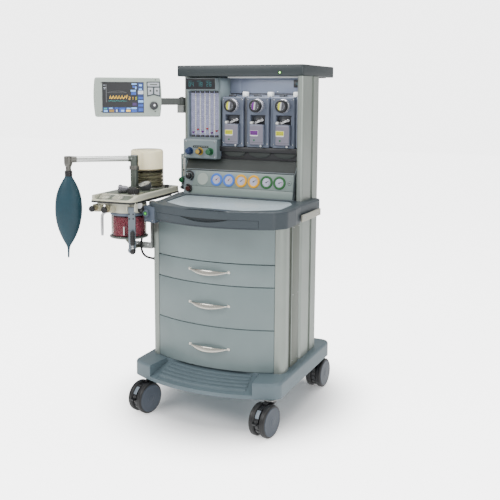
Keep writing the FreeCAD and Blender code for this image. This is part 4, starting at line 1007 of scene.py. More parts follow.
def cabinet_trim():
    """Dark sheets in the upright gaps beside the columns as painted shade, a pale strip on each side cover's
    front edge as a painted highlight, and the screws of the side covers.
    """
    z = (197, 784.5)
    trim = Piece("column_gaps_painted_shade_and_highlight")
    for side in (-1, 1):
        # black and blue-grey sheets at the backs of the gaps: painted shade
        gaps = (((262, 263.6), (13.2, 35.8), BLACK), ((275, 276.6), (-94.8, -64.2), GAP_SHADE_BLUE))
        for x, y, material in gaps:
            trim.box(sorted((side * x[0], side * x[1])), y, z, material, bevel=0.2)
        # pale strip along the front edge of the side cover: a painted highlight of its rounded edge
        trim.box(sorted((side * 289.5, side * 290.8)), (-63, -56), (197, 772), EXTRUSION, bevel=0.5)
    trim.done()
    for side in (-1, 1):
        cover = Piece("side_cover_" + ("left" if side < 0 else "right"),
                      place=facing((side * 290, -25, 490), (side, 0, 0)))
        cover.plate((-31, 36), (-285, 285), 3, (-0.4, 1.2), SIDE_PANEL, bevel=0.6)
        screws(cover, (-24, 30), (-270, 0, 270), 2.4, z=1.0)
        cover.done()
    # black sheet under the front edge of the cabinet: a painted shadow
    seam = Piece("front_plinth_shadow")
    across = [250 * (2 * k / 40 - 1) for k in range(41)]
    outline = [(x, bow_y(FRONT_BOW_R - 3, x)) for x in across] + [(x, -120) for x in (250, -250)]
    seam.prism(outline, (195.6, 197.2), BLACK, bevel=0)
    seam.done()


def rear_panels():
    """Plain service covers on the back, with louvres, gas inlets and a mains inlet."""
    back = Piece("rear_cover", place=facing((0, 218, 490), (0, 1, 0)))
    back.plate((-240, 240), (-284, 284), 8, (-0.5, 2), SIDE_PANEL)
    for x in (-110, 110):
        for y in range(60, 230, 13):
            back.plate((x - 75, x + 75), (y, y + 5), 2.4, (1.8, 2.3), BLACK, bevel=0)
            back.box((x - 76, x + 76), (y + 5, y + 7), (1.6, 4.6), SIDE_PANEL, bevel=0.8)
    screws(back, (-226, 0, 226), (-270, 0, 270), 3.4, z=1.6)
    back.done()

    upper = Piece("rear_upper_cover", place=facing((0, 200, 1060), (0, 1, 0)))
    upper.plate((-245, 245), (-270, 275), 6, (-0.5, 2), MODULE)
    screws(upper, (-232, 232), (-256, -80, 90, 262), z=1.6)
    # one inlet for each gas, with its coloured ring
    upper.plate((-170, -20), (-200, -150), 6, (1.5, 8), DARK_GREY)
    for i, ring in enumerate((RING_BLUE, RING_YELLOW, RING_GREEN)):
        at = (-145 + 50 * i, -175, 0)
        upper.lathe([(7, 17), (9.5, 16.5)], ring, at=at)
        upper.lathe([(9, 11), (20, 11), (20, 8.5), (34, 8.5), (36, 6)], CHROME, at=at)
        upper.lathe([(20.5, 12.4), (27, 12.4)], BRASS, at=at, segments=6)
    upper.plate((60, 130), (-200, -150), 4, (1.5, 6), BLACK)
    upper.plate((72, 118), (-190, -160), (3, 9), (5.5, 6.6), DARK_GREY, bevel=0.4)
    for i in range(3):
        upper.box((86 + 9 * i - 1, 86 + 9 * i + 1), (-180, -173), (6.4, 9), CHROME, bevel=0.2)
    upper.done()


# ---- castors ------------------------------------------------------------------------------
CASTOR_NAMES = ("fl", "fr", "rl", "rr")
PEDAL_R = 59.3
TYRE_PROFILE = ((9.8, 0), (9.8, 53), (11.5, 58.5), (15, 61.8), (17, 62.5), (20.5, 62.5), (21, 61.9),
                (21.6, 61.9), (22.1, 62.5), (28.6, 62.5), (31.4, 61.4), (33.8, 58.6), (34.6, 55.6),
                (33.8, 54.2), (33.8, 0))
DISC_PROFILE = ((33, 0), (33, 54.4), (34.9, 54.1), (36, 51.5), (35.5, 46), (35.9, 24), (36.6, 17), (36.2, 15),
                (37.2, 10), (37.4, 0))


def castor_wheels():
    for name in CASTOR_NAMES:
        at, axis = joint_at("wheel_spin_" + name)
        wheels = Piece("castor_wheel_pair_" + name, "wheels_" + name, facing(at, axis))
        for side in (-1, 1):
            wheels.lathe(TYRE_PROFILE, TYRE, axis=(0, 0, side), segments=80, rounding=0.5)
            wheels.lathe(DISC_PROFILE, DISC_GREY, axis=(0, 0, side), segments=64)
            wheels.lathe([(8, 8.5), (9.9, 8.5)], BARE_STEEL, axis=(0, 0, side), segments=24)
        wheels.done(replaces=["castor_wheels_" + name])
        # bearing collar with its steel ring
        swivel, _ = joint_at("castor_swivel_" + name)
        collar = Piece("castor_collar_" + name, "castor_" + name)
        collar.lathe([(117, 19), (120, 23.5), (126, 25), (131, 25), (133.6, 23)], CHARCOAL,
                     at=(swivel.x, swivel.y, 0))
        collar.lathe([(131.5, 26.5), (133.8, 26.5)], BARE_STEEL, at=(swivel.x, swivel.y, 0))
        collar.done()


def castor_hoods():
    """Ribbed hood between the two wheels of each castor, at the side away from the pedal."""
    for name in CASTOR_NAMES:
        at, axis = joint_at("wheel_spin_" + name)
        hood = Piece("castor_hood_" + name, "castor_" + name, facing(at, axis))
        angles = range(100, 233, 22) if name[0] == "f" else range(-40, -173, -22)
        hood.ribs(angles, (53.2, 55.8), (-6, 6), (-8.4, 8.4), CHARCOAL, bevel=1.1)
        hood.done()
    # pale toe patch on each brake pedal
    for name in ("fl", "fr"):
        low, high = lo_hi("brake_pedal_" + name)
        at, axis = joint_at("wheel_spin_" + name)
        out = (high + low) / 2 - at
        out.z = 0
        side = facing(at, axis)
        patch = Piece("pedal_patch_" + name, "pedal_" + name, side)
        local = side.inverted() @ Vector((at.x + out.x, at.y + out.y, at.z + 40))
        start = math.degrees(math.atan2(local.y, local.x))
        angles = [start + 6 * (k - 2) for k in range(5)]
        patch.ribs(angles, (PEDAL_R, PEDAL_R + 1.6), (-3.4, 3.4), (-7.8, 7.8), PEDAL_GREY, bevel=0.5)
        patch.done()


# ---- monitor ------------------------------------------------------------------------------
MONITOR_CENTRE = (-412.0, -127.0, 1257.0)
SCREEN_LEFT, SCREEN_RIGHT, SCREEN_LOW, SCREEN_TOP = -105.5, 61.5, -61.5, 60.5


def monitor_place():
    _, out = joint_at("monitor_knob_turn")
    return facing(MONITOR_CENTRE, out)


def monitor_screen():
    piece = Piece("monitor_screen", "monitor", monitor_place())
    z = (-0.9, -0.5)
    piece.box((SCREEN_LEFT, SCREEN_RIGHT), (SCREEN_LOW, SCREEN_TOP), (-1.6, -0.8), SCREEN, bevel=0)
    # blue menu column and value band, with their cells
    piece.box((38, SCREEN_RIGHT), (SCREEN_LOW, SCREEN_TOP), z, SCREEN_NAVY, bevel=0)
    piece.box((SCREEN_LEFT, 38), (SCREEN_LOW, -40), z, SCREEN_NAVY, bevel=0)
    cells = (
        (44, 56, 45, 53, SCREEN_SKY), (43, 55, 29, 36, SCREEN_SKY), (39.5, 61.5, 13, 27, SCREEN_PALE),
        (41, 60, -6, 1, SCREEN_BLUE), (40, 61, -21, -12, SCREEN_SKY), (40, 60, -37, -29, SCREEN_BLUE),
        (41, 60, -57, -45, SCREEN_BLUE), (14, 34, 51, 57, SCREEN_SKY), (17, 29, 39, 47, SCREEN_BLUE),
        (28, 33, 33, 44, SCREEN_SKY), (9, 30, 23, 30, SCREEN_SKY), (11, 31, 10, 21, SCREEN_BLUE),
        (20, 28, 12, 18, SCREEN_SKY), (-101, -86, -59, -52, SCREEN_SKY), (-101, -88, -49, -43, SCREEN_TEAL),
        (-79, -60, -60, -50, SCREEN_OCHRE), (-80, -66, -47, -42, SCREEN_SKY),
        (-52, -46, -59, -50, SCREEN_PALE), (-55, -42, -47, -42, SCREEN_BLUE),
        (-38, -16, -60, -43, SCREEN_BLUE), (-31, -19, -58, -51, SCREEN_SKY),
        (-10, 7, -58, -51, SCREEN_AMBER), (-8, 8, -48, -43, SCREEN_SKY), (11, 33, -48, -41, SCREEN_SKY),
        (17, 25, -60, -51, SCREEN_SKY), (12, 33, -61, -50, SCREEN_BLUE), (16, 33, -34, -22, SCREEN_VIOLET),
    )
    for number, (x0, x1, y0, y1, material) in enumerate(cells):
        lift = 0.02 * (number % 3)
        piece.box((x0, x1), (y0, y1), (-0.7, -0.35 + lift), material, bevel=0)
    # short caption bars stand for captions
    for x, y, wide in ((-102, 48, 8), (-101, 38, 10), (-100, 33, 6), (46, 49, 7), (-30, -54.5, 8)):
        piece.box((x, x + wide), (y, y + 1.4), (-0.5, -0.25), SCREEN_PALE, bevel=0)
    # axis bar, and the three traces
    piece.box((-92, -88.5), (-20, 52), z, SCREEN_DIM, bevel=0)
    piece.box((-88, -10), (18, 19.2), z, SCREEN_DIM, bevel=0)
    arch = [(-84 + 76 * t / 12, 19.5 + 5.5 * math.sin(math.pi * t / 12), -0.7) for t in range(13)]
    piece.tube(arch, 0.9, SCREEN_DIM, segments=6)
    teeth = [(-77, -6, -0.6)]
    for k in range(5):
        x = -74 + 12 * k
        teeth += [(x, 7, -0.6), (x + 4, -6, -0.6), (x + 7, -5, -0.6)]
    teeth += [(-19, -3, -0.6), (-14, 6, -0.6), (-9, -6, -0.6), (-5, 9, -0.6)]
    piece.tube(teeth, 1.35, SCREEN_AMBER, segments=6)
    ripple = [(-84 + 4 * k, -16 + 1.6 * (k % 2) * (1 if k % 3 else 2), -0.6) for k in range(20)]
    piece.tube(ripple, 0.75, SCREEN_TEAL, segments=6)
    for k, value in enumerate((2, 1, 1)):
        digit(piece, value, 1 + 12 * k, -10, 12, SCREEN_AMBER, z=-0.6)
    digit(piece, 1, 28, -10, 13, LED_GREEN, z=-0.5)
    piece.done()
    frame_piece = Piece("screen_bezel", "monitor", monitor_place())
    for x, y in (((-107.2, -105.4), (-63.2, 62.2)), ((61.4, 63.2), (-63.2, 62.2)),
                 ((-107.2, 63.2), (-63.2, -61.4)), ((-107.2, 63.2), (60.4, 62.2))):
        frame_piece.box(x, y, (-1.2, 0.5), DARK_GREY, bevel=0.4)
    frame_piece.done()


def monitor_keys():
    piece = Piece("monitor_keypad", "monitor", monitor_place())
    piece.prism([(77, 2, 1), (104, 10, 2), (132, 2, 1), (131, 65, 4), (74.5, 64, 4)], (-0.4, 1.2), KEY_FRAME,
                bevel=0.5)
    keys = ([(79.5, 44.5, 2), (127.5, 44.5, 2), (127, 60.5, 3), (78.5, 60, 3)],
            [(80.5, 8.5, 2), (101, 14.5, 2), (101, 39.5, 2), (79.5, 39.5, 2)],
            [(107, 14.5, 2), (127.8, 8.5, 2), (127.6, 39.5, 2), (107, 39.5, 2)])
    for key in keys:
        piece.prism(key, (0.8, 3.0), KEY_GREY, bevel=0.9)
    # plain pictograms on the keys
    for x in (90, 117):
        piece.lathe([(2.8, 4.4), (3.2, 4.2)], ARM_PAINT, at=(x, 27, 0), segments=24)
    piece.box((88, 119), (50.5, 54.5), (2.8, 3.2), ARM_PAINT, bevel=0.1)
    piece.lathe([(-0.5, 2.4), (0.6, 2.2), (0.9, 0)], BLACK, at=(112, 71.5, 0), segments=16)
    piece.done()
    at, axis = joint_at("monitor_knob_turn")
    knob = Piece("monitor_dial", "monitor_control", facing(at, axis))
    knob.lathe([(0.4, 16.4), (1.8, 17), (8.5, 16), (11.4, 12.5), (12.4, 7), (12.2, 0)], DARK_GREY,
               segments=56, rounding=2.0)
    knob.lathe([(12, 4.6), (12.9, 4.2), (12.6, 0)], CHROME, at=(1, 2, -0.3), segments=24)
    knob.ribs(range(0, 360, 15), (16.0, 16.9), (-0.7, 0.7), (2, 8), BLACK, bevel=0.3)
    knob.done(replaces=["monitor_knob"])


def monitor_housing():
    """Parting line, vents and screws round the back of the monitor."""
    piece = Piece("monitor_seam", "monitor", monitor_place())
    outline = [(-132.4, -80.25, 7), (132.4, -80.25, 7), (138.3, 0, 60), (132.4, 80.25, 7), (-132.4, 80.25, 7),
               (-138.3, 0, 60)]
    piece.prism(outline, (-21, -19.6), ARM_PAINT, bevel=0.3)
    for row in range(6):
        for x in (-70, 70):
            y = 20 - 8 * row
            piece.plate((x - 32, x + 32), (y, y + 3), 1.4, (-52.6, -51.6), BLACK, bevel=0)
    screws(piece, (-110, 110), (-58, 58), 2.6, z=-0.5, metal=ARM_PAINT)
    piece.done()
    pin, axis = joint_at("monitor_tilt")
    pivot, _ = joint_at("monitor_swing")
    caps = Piece("arm_caps", "monitor_support")
    caps.lathe([(1253.8, 14), (1256, 13), (1257, 9)], DARK_GREY, at=(pivot.x, pivot.y, 0))
    for side in (-1, 1):
        caps.lathe([(16.6, 8), (18.6, 7.4)], CHROME, at=pin, axis=axis * side, segments=24)
    caps.done()


# ---- absorber -----------------------------------------------------------------------------
PLATE_TOP = 876.0
PLATE_OUTLINE = ((-455, -338, 8), (-268, -325, 30), (-302, 92, 14), (-478, 110, 14))
PLATE_SLOPE = math.atan2(20.0, 67.0)     # the front of the plate leans down
SLOPE_EDGE_Y = -278.0


def grown(outline, amount):
    """The outline with every corner moved out by an amount from its middle."""
    cx = sum(p[0] for p in outline) / len(outline)
    cy = sum(p[1] for p in outline) / len(outline)
    return [(x + math.copysign(amount, x - cx), y + math.copysign(amount, y - cy), r) for x, y, r in outline]


def slope_place(x, y):
    """Local axes on the sloping front of the absorber plate."""
    z = PLATE_TOP + (y - SLOPE_EDGE_Y) * math.tan(PLATE_SLOPE)
    return facing((x, y, z), (0, -math.sin(PLATE_SLOPE), math.cos(PLATE_SLOPE)), up=(0, 1, 0))


def absorber_plate():
    gasket = Piece("plate_gasket")
    gasket.prism(grown(PLATE_OUTLINE, 2.2), (846.4, 853), BLACK, bevel=0.8, steps=10)
    gasket.done()
    rim = Piece("plate_rim")
    outer = rounded_outline([(x, y, r) for x, y, r in grown(PLATE_OUTLINE, 0.5)], 8)
    path = [(p.x, p.y, 856.6) for p in outer]
    rim.tube(path + path[:1], 1.5, CREAM, segments=8)
    rim.done()
    top = Piece("plate_top_sheet")
    top.prism([(-451, -272, 6), (-286, -272, 20), (-313, 82, 8), (-464, 98, 8)],
              (PLATE_TOP - 0.3, PLATE_TOP + 0.9), PLATE_GLOSS, bevel=0.5, steps=8)
    for x, y in ((-445, -262), (-300, -262), (-322, 70), (-452, 84)):
        screw(top, x, y, 3.0, z=PLATE_TOP + 0.6)
    top.done()
    front = Piece("plate_front_sheet", place=slope_place(-368, -309))
    front.prism([(-70, -24, 6), (78, -18, 14), (80, 24, 4), (-70, 24, 4)], (-0.3, 0.7), PLATE_GLOSS,
                bevel=0.4, steps=8)
    front.done()
    for number, x in enumerate((-408, -348), 1):
        window = Piece("check_valve_%d" % number, place=slope_place(x, -311))
        window.lathe([(0.2, 23.5), (2.6, 23.5), (3.6, 21.8)], RIM_GREY, segments=56)
        window.lathe([(3, 19.5), (4.0, 19.2)], BLACK, segments=48)
        window.lathe([(3.9, 12.5), (5.2, 12.2), (5.4, 0)], WINDOW_DISC, segments=40)
        window.lathe([(5.3, 4), (6.2, 3.6)], CHROME, segments=24)
        window.lathe([(3.6, 20.6), (7, 18.5), (9.6, 13), (10.6, 6), (10.8, 0)], CLEAR, segments=48,
                     rounding=2)
        for k in range(6):
            turn = turned(60 * k)
            window.lathe([(3.4, 1.3), (4.4, 1.0)], CHROME, at=turn @ Vector((21.6, 0, 0)), segments=12)
        window.done()


PORT_X = (-446.0, -388.0)
PORT_Z = 822.0


def breathing_ports():
    for number, x in enumerate(PORT_X, 1):
        port = Piece("port_sleeve_%d" % number, place=facing((x, -318, PORT_Z), FORWARD))
        port.lathe([(-0.4, 15.5), (3, 15.5), (5, 13.4)], BRASS, segments=48)
        port.lathe([(4.6, 12.2), (16, 12.6), (27, 12.0)], BRASS, segments=48)
        port.lathe([(25.6, 12.4), (27, 12.8), (33, 12.2), (35.2, 10.6), (35.6, 8), (34.6, 7)], BLACK,
                   segments=48)
        port.done()
        block = Piece("port_block_%d" % number)
        block.box((x - 17.2, x + 17.2), (-319, -289), (806.8, 835.5), PORT_IVORY, bevel=3.0)
        block.done()
    # fresh gas side: white sampling cap over a dark plug, behind the lever
    plug = Piece("sampling_port", place=facing((-279, -262, 836), (0.45, -1, -0.1)))
    plug.lathe([(-12, 10), (0, 10), (2, 11.5), (9, 11.5), (10.5, 10)], WHITE, segments=40)
    plug.done()
    elbow = Piece("fresh_gas_plug", place=facing((-282, -244, 818), (0.55, -1, -0.2)))
    elbow.lathe([(-16, 9), (-4, 9), (-4, 14), (8, 14.5), (12, 12)], RUBBER, segments=40)
    elbow.lathe([(11.6, 6), (15, 5.5)], CHARCOAL, segments=28)
    elbow.done()


CANISTER_AT = (-355.0, -224.0)
CANISTER_R = 70.0
CANISTER_LOW = 700.0


def canister():
    """Clear bowl with its flange, packed absorbent, lid and base ring."""
    place = Matrix.Translation((*CANISTER_AT, CANISTER_LOW))
    r = CANISTER_R
    charge = Piece("absorbent_charge", "canister_body", place)
    charge.lathe([(7, r - 6.5), (60, r - 6.2), (86, r - 6.5), (88, 40), (89, 0)],
                 PELLETS, segments=64, rounding=1.5)
    rng = random.Random(11)
    for _ in range(260):
        angle, radius = rng.uniform(0, 2 * math.pi), r - 6.4
        spot = (radius * math.cos(angle), radius * math.sin(angle), rng.uniform(10, 84))
        charge.lathe([(-2.4, 0), (-1.6, 1.5), (1.6, 1.5), (2.4, 0)], PELLETS, at=spot,
                     axis=(rng.uniform(-1, 1), rng.uniform(-1, 1), rng.uniform(-1, 1)), segments=6,
                     rounding=0)
    charge.done(replaces=["canister"])
    bowl = Piece("canister_bowl", "canister_body", place)
    bowl.lathe([(0, r + 5), (1.5, r + 7), (5.5, r + 7), (7, r + 5),
                (9, r + 0.4), (12, r), (94, r), (94, r - 3),
                (9, r - 3), (6, r - 7)], CANISTER_CLEAR, segments=72, rounding=1.5)
    bowl.done()
    trim = Piece("canister_lid", "canister_body", place)
    trim.lathe([(92, r + 2), (93.5, r + 3), (102, r + 3),
                (103.2, r + 1.5)], LID_BLUE, segments=72)
    trim.lathe([(-0.2, 30), (1, 32), (2, 30)], DARK_GREY, segments=48)
    angles = [360 * k / 28 for k in range(28)]
    trim.ribs(angles, (r + 2.4, r + 4.0), (-2.2, 2.2), (94.5, 101.5), LID_BLUE, bevel=0.6)
    trim.done()
    ring = Piece("canister_base_ring", "canister_body", place)
    ring.lathe([(-0.4, r + 5.6), (1, r + 7.4), (6, r + 7.4),
                (7.4, r + 5)], CANISTER_BASE, segments=72)
    # white upright strip in the front of the clear wall: a painted highlight on the bowl
    ring.box((r * 0.32 - 3, r * 0.32 + 3), (-r * 0.955 - 0.6, -r * 0.93),
             (16, 50), WHITE, bevel=1.0, shift=turned(-2))
    ring.done()


def canister_guard():
    """Moulded guard that stands out on the left of the canister head."""
    guard = Piece("canister_guard")
    x, y = -486.0, -224.0
    bend = ((58, 800), (40, 798), (20, 792), (8, 786), (1, 776), (0, 762), (0, 738), (0, 710), (0, 692))
    line = [(x + out, y, z) for out, z in bend]
    guard.tube(line, [6.0, 6.4, 6.4, 6.4, 6.4, 6.4, 6.2, 6.0, 5.0], GUARD_GREY, segments=16)
    guard.box((x + 50, x + 68), (y - 8, y + 8), (792, 808), GUARD_GREY, bevel=3)
    guard.done()


def canister_lever():
    at, _ = joint_at("lever_swing")
    lever = Piece("lever_details", "lever", facing((at.x, at.y - 4, 0), FORWARD))
    for x, z in ((-9.5, 805), (9.5, 806), (-9.5, 786), (9.5, 788)):
        lever.lathe([(-0.4, 3.4), (1.4, 3.4), (2.0, 2.8)], BLACK, at=(x, z, 0), segments=6)
    lever.plate((-5.5, 11), (700, 734), 5, (-0.3, 0.8), BLACK, bevel=0.3)
    lever.done()
    grip = Piece("lever_grip", "lever", Matrix.Translation((at.x + 10, at.y - 13, -4)))
    grip.lathe([(688, 7.4), (691, 9.2), (704, 9.6), (722, 9.0), (738, 9.6), (742, 8.4), (744, 5)], BLACK,
               segments=36, rounding=2)
    for k in range(6):
        grip.lathe([(695 + 7 * k, 9.6), (697 + 7 * k, 10.2), (699 + 7 * k, 9.6)], RUBBER, segments=36,
                   rounding=0.6)
    grip.ball((0, 0, 664), 12.4, BLACK)
    grip.lathe([(674, 6), (678, 6.6), (682, 5), (688, 5)], CHROME, segments=28)
    grip.done()


GUSSET_AT = (-360.0, -197.0)


def support_bracket():
    """Edge stiffeners, screws and the gusset under the canister."""
    piece = Piece("bracket_details")
    piece.box((-376.6, -294), (-151, -149), (646, 666), STRUT, bevel=0.6)
    for x in (-362, -312):
        screw_place = facing((x, -151, 656), FORWARD)
        piece.lathe([(-0.4, 3.6), (1.6, 3.2)], CHROME, at=screw_place.translation, axis=FORWARD, segments=18)
    piece.box((-372, -346), (-200, -150), (643, 649), OLIVE_GREY, bevel=0.8)
    web = [(-399, 686), (-362, 686), (-346, 650), (-346, 643), (-356, 643)]
    piece.prism([(x - GUSSET_AT[0], z, 1.5) for x, z in web], (-3, 3), OLIVE_GREY, bevel=0.8,
                shift=facing((GUSSET_AT[0], GUSSET_AT[1], 0), FORWARD))
    piece.done()


BAG_ARM_REACH = 268.0
BAG_ARM_TURN = 219.0
BAG_TOP = 935.0
BAG_LEAN = (0.022, 0.011)


def arm_end():
    """Middle of the elbow at the far end of the bag arm."""
    at, _ = joint_at("bag_swing")
    turn = math.radians(BAG_ARM_TURN)
    return Vector((at.x + BAG_ARM_REACH * math.cos(turn), at.y + BAG_ARM_REACH * math.sin(turn), 0))


def post_and_arm():
    at, _ = joint_at("bag_swing")
    x, y = at.x, at.y
    post = Piece("bag_post_details", place=Matrix.Translation((x, y, 0)))
    post.lathe([(PLATE_TOP - 0.3, 24), (PLATE_TOP + 5, 24), (PLATE_TOP + 7, 22.4)], CHARCOAL, segments=48)
    post.lathe([(958, 17.6), (960, 20.9), (974, 20.9), (976, 17.4)], ELBOW, segments=48)
    for k in range(3):
        turn = turned(120 * k)
        post.lathe([(19, 2.2), (22, 2.0)], BLACK, at=(0, 0, 967), axis=turn @ Vector((1, 0, 0)), segments=16)
    post.done()
    end = arm_end()
    along = Vector((end.x - x, end.y - y, 0))
    reach = along.length
    along.normalize()
    arm = Piece("arm_sleeves", "bag_support", Matrix.Translation((x, y, 0)))
    arm.lathe([(988.3, 17.0), (1016, 17.0), (1019, 15.6), (1020.4, 11)], POST_METAL, segments=48)
    arm.lathe([(13, 13.4), (24, 13.4), (26, 12.6)], POST_METAL, at=(0, 0, 1005), axis=along, segments=40)
    arm.lathe([(reach - 34, 12.5), (reach - 14, 13.8), (reach, 13.8)], ELBOW, at=(0, 0, 1005), axis=along,
              segments=40)
    arm.done()
    elbow = Piece("elbow_block", "bag_support", Matrix.Translation(end))
    elbow.lathe([(975, 12), (986, 16.4), (990, 16.8), (1015, 16.8), (1018.6, 15)], ELBOW, segments=48,
                rounding=1.5)
    elbow.lathe([(958, 11.2), (976, 11.2)], ELBOW, segments=40)
    elbow.done()


# height, half width, and depth as a share of the width
BAG_PROFILE = ((958, 12.8, 1.0), (950, 13.2, 1.0), (941, 13.6, 1.0), (934, 15.2, 0.92), (926, 20.4, 0.82),
               (912, 29.4, 0.70), (896, 38, 0.64), (880, 44.6, 0.61), (860, 51, 0.6), (838, 55.4, 0.6),
               (805, 57.6, 0.6), (775, 56.0, 0.6), (745, 51, 0.6), (718, 43.6, 0.6), (693, 33.6, 0.58),
               (672, 23, 0.56), (655, 12.6, 0.56), (644, 6.6, 0.7), (630, 4.4, 0.9), (612, 3.9, 1.0),
               (600, 3.7, 1.0), (597.4, 2.6, 1.0))
BAG_TURN = 20.0


def breathing_bag():
    """Hanging silicone bag: a lens-shaped shell with moulded side seams, soft creases and a tail."""
    centre = arm_end()
    count = 64
    rows = []
    for a, b in zip(BAG_PROFILE, BAG_PROFILE[1:]):
        for k in range(3):
            t = k / 3
            rows.append([a[i] * (1 - t) + b[i] * t for i in range(3)])
    rows.append(list(BAG_PROFILE[-1]))
    smooth = [rows[0]] + [[(p[i] + 2 * q[i] + r[i]) / 4 for i in range(3)]
                          for p, q, r in zip(rows, rows[1:], rows[2:])] + [rows[-1]]
    rings = []
    turn = Matrix.Rotation(math.radians(BAG_TURN), 3, "Z")
    lean = Vector((*BAG_LEAN, 0))
    for z, half, flat in smooth:
        full = min(1.0, max(0.0, (half - 15) / 30))
        ring = []
        for k in range(count):
            angle = 2 * math.pi * k / count
            c, s = math.cos(angle), math.sin(angle)
            seam = 1.3 * full * math.exp(-(s / 0.09) ** 2)
            crease = 0.9 * full * noise.noise(Vector((2.2 * c, 2.2 * s, z / 60)))
            gather = 0.5 * (1 - full) * math.cos(11 * angle) if half > 14.5 and z > 800 else 0.0
            r = half + seam + crease + gather - 1.0 * full
            ring.append(turn @ Vector((r * c, r * s * flat, z)) - lean * max(0.0, BAG_TOP - z))
        rings.append(ring)
    place = Matrix.Translation(centre)
    bag = Piece("breathing_bag_shell", "bag_support", place)
    bag.loft(rings, TEAL)
    shell = bag.done(replaces=["breathing_bag"], sharp=70)
    smoother = shell.modifiers.new("round", "SUBSURF")
    smoother.levels = 1
    smoother.render_levels = 1
    cuff = Piece("bag_cuff", "bag_support", place)
    cuff.lathe([(936.5, 14.4), (938, 15.4), (941.5, 15.0), (944, 15.6), (948, 15.0), (951, 15.6), (955, 15.0),
                (958, 15.4), (959.4, 14.2)], BLACK, segments=48, rounding=1.0)
    cuff.done()


BELLOWS_AT = (-400.0, -10.0)
DOME_R = 69.0
DOME_LOW, DOME_TOP = 876.0, 1038.0
BELLOWS_TOP = 950.0
BELLOWS_FOLDS = 4
FOLD_R = 61.2


def bellows():
    place = Matrix.Translation((*BELLOWS_AT, 0))
    dome = Piece("dome_shell", place=place)
    dome.lathe([(DOME_LOW + 1, 60), (DOME_LOW + 1, DOME_R + 2.6), (DOME_LOW + 3, DOME_R + 3.2),
                (DOME_LOW + 7, DOME_R + 3.2), (DOME_LOW + 9, DOME_R + 1), (DOME_LOW + 14, DOME_R),
                (DOME_TOP - 10, DOME_R), (DOME_TOP - 3, DOME_R - 3), (DOME_TOP - 0.4, DOME_R - 9),
                (DOME_TOP - 0.2, 0)], AMBER, segments=80, rounding=3)
    dome.done(replaces=["bellows_dome"])
    # cream sleeve in the glowing material: painted light
    sleeve = Piece("dome_sleeve", place=place)
    z0, z1 = 956.0, 1031.0
    outer, inner = DOME_R - 4.2, DOME_R - 6.2
    sleeve.lathe([(z1 - 2.5, inner), (z0, inner), (z0, outer), (z1 - 3, outer), (z1, outer - 3)], DOME_CREAM_GLOW,
                 segments=72, rounding=0.8)
    sleeve.done()
    marks = Piece("dome_scale", place=place)
    for k in range(8):
        z = 966 + 8 * k
        half = 4.5 if k % 4 == 0 else 2.5
        marks.ribs((-74,), (outer - 0.1, outer + 0.35), (-half, half), (z, z + 0.9), MARK_GREY)
    for k in range(6):
        spot = turned(60 * k + math.degrees(0.3)) @ Vector((DOME_R + 1.6, 0, 0))
        marks.lathe([(DOME_LOW + 8, 2.6), (DOME_LOW + 10.5, 2.2)], CHROME, at=(spot.x, spot.y, 0),
                    segments=18)
    marks.done()
    base = Piece("bellows_seat", place=place)
    base.lathe([(DOME_LOW - 0.4, DOME_R + 5.6), (DOME_LOW + 2.4, DOME_R + 5.6), (DOME_LOW + 3, DOME_R + 4.4)],
               BASE_STEEL, segments=72)
    base.done()
    low, high = DOME_LOW + 3, BELLOWS_TOP - 6.6
    pitch = (high - low) / BELLOWS_FOLDS
    profile = [(low, 50)]
    for k in range(BELLOWS_FOLDS):
        profile += [(low + pitch * (k + 0.14), 51.5), (low + pitch * (k + 0.40), FOLD_R),
                    (low + pitch * (k + 0.60), FOLD_R), (low + pitch * (k + 0.86), 51.5)]
    profile.append((high, 50))
    # the folds stand on the seat, up under the disc above them
    stretch = Piece("bellows_folds", None, place)
    stretch.lathe(profile, BELLOWS_RUBBER, segments=64, rounding=2.0)
    skin = stretch.done(replaces=["bellows"])
    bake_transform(skin)


def plate_controls():
    at, _ = joint_at("relief_turn")
    knob = Piece("relief_knob", "relief", Matrix.Translation((at.x, at.y, PLATE_TOP)))
    knob.lathe([(0.4, 16), (4, 16)], CHROME, segments=36)
    gripped_knob(knob, 23.2, 3.5, 24.5, 12, BLACK, depth=2.6)
    knob.lathe([(24, 15.5), (26.4, 14.5), (28, 11)], BLACK, segments=36)
    knob.box((-1.0, 1.0), (5, 14.4), (26.6, 27.6), WHITE, bevel=0.2)
    knob.lathe([(-10.5, 4.8), (1, 4.8)], CHROME, segments=20)
    knob.done(replaces=["apl_knob"])
    at, _ = joint_at("selector_turn")
    knob = Piece("selector_knob", "selector", Matrix.Translation((at.x, at.y, PLATE_TOP)))
    gripped_knob(knob, 9.0, 0.6, 13.4, 10, BLACK, depth=1.0)
    knob.plate((-2.2, 2.2), (-8.4, 8.4), 1.5, (12, 14.2), BLACK)
    knob.lathe([(-10.5, 4.8), (1, 4.8)], CHROME, segments=20)
    knob.done(replaces=["mode_knob"])
    # fixed silver filter cap beside the relief knob
    cap = Piece("filter_cap", place=facing((-383, -243, 892.4), (-0.88, -0.46, 0.06)))
    cap.lathe([(-32, 12.5), (-24, 15), (-8, 15.4), (-6, 17.6), (3, 17.8), (6, 16)], CAP_METAL, segments=48)
    cap.lathe([(5.6, 12.5), (7.6, 11.5)], CHROME, segments=40)
    cap.box((-2.2, 2.2), (-9, 9), (7.2, 8.4), BLACK, bevel=0.4)
    cap.ribs(range(0, 360, 18), (17.0, 18.4), (-1.2, 1.2), (-5, 2.6), CAP_METAL, bevel=0.5)
    cap.done()


MANOMETER_OUT = (-0.08, -0.42, 0.90)
MANOMETER_NEEDLE = 96.0


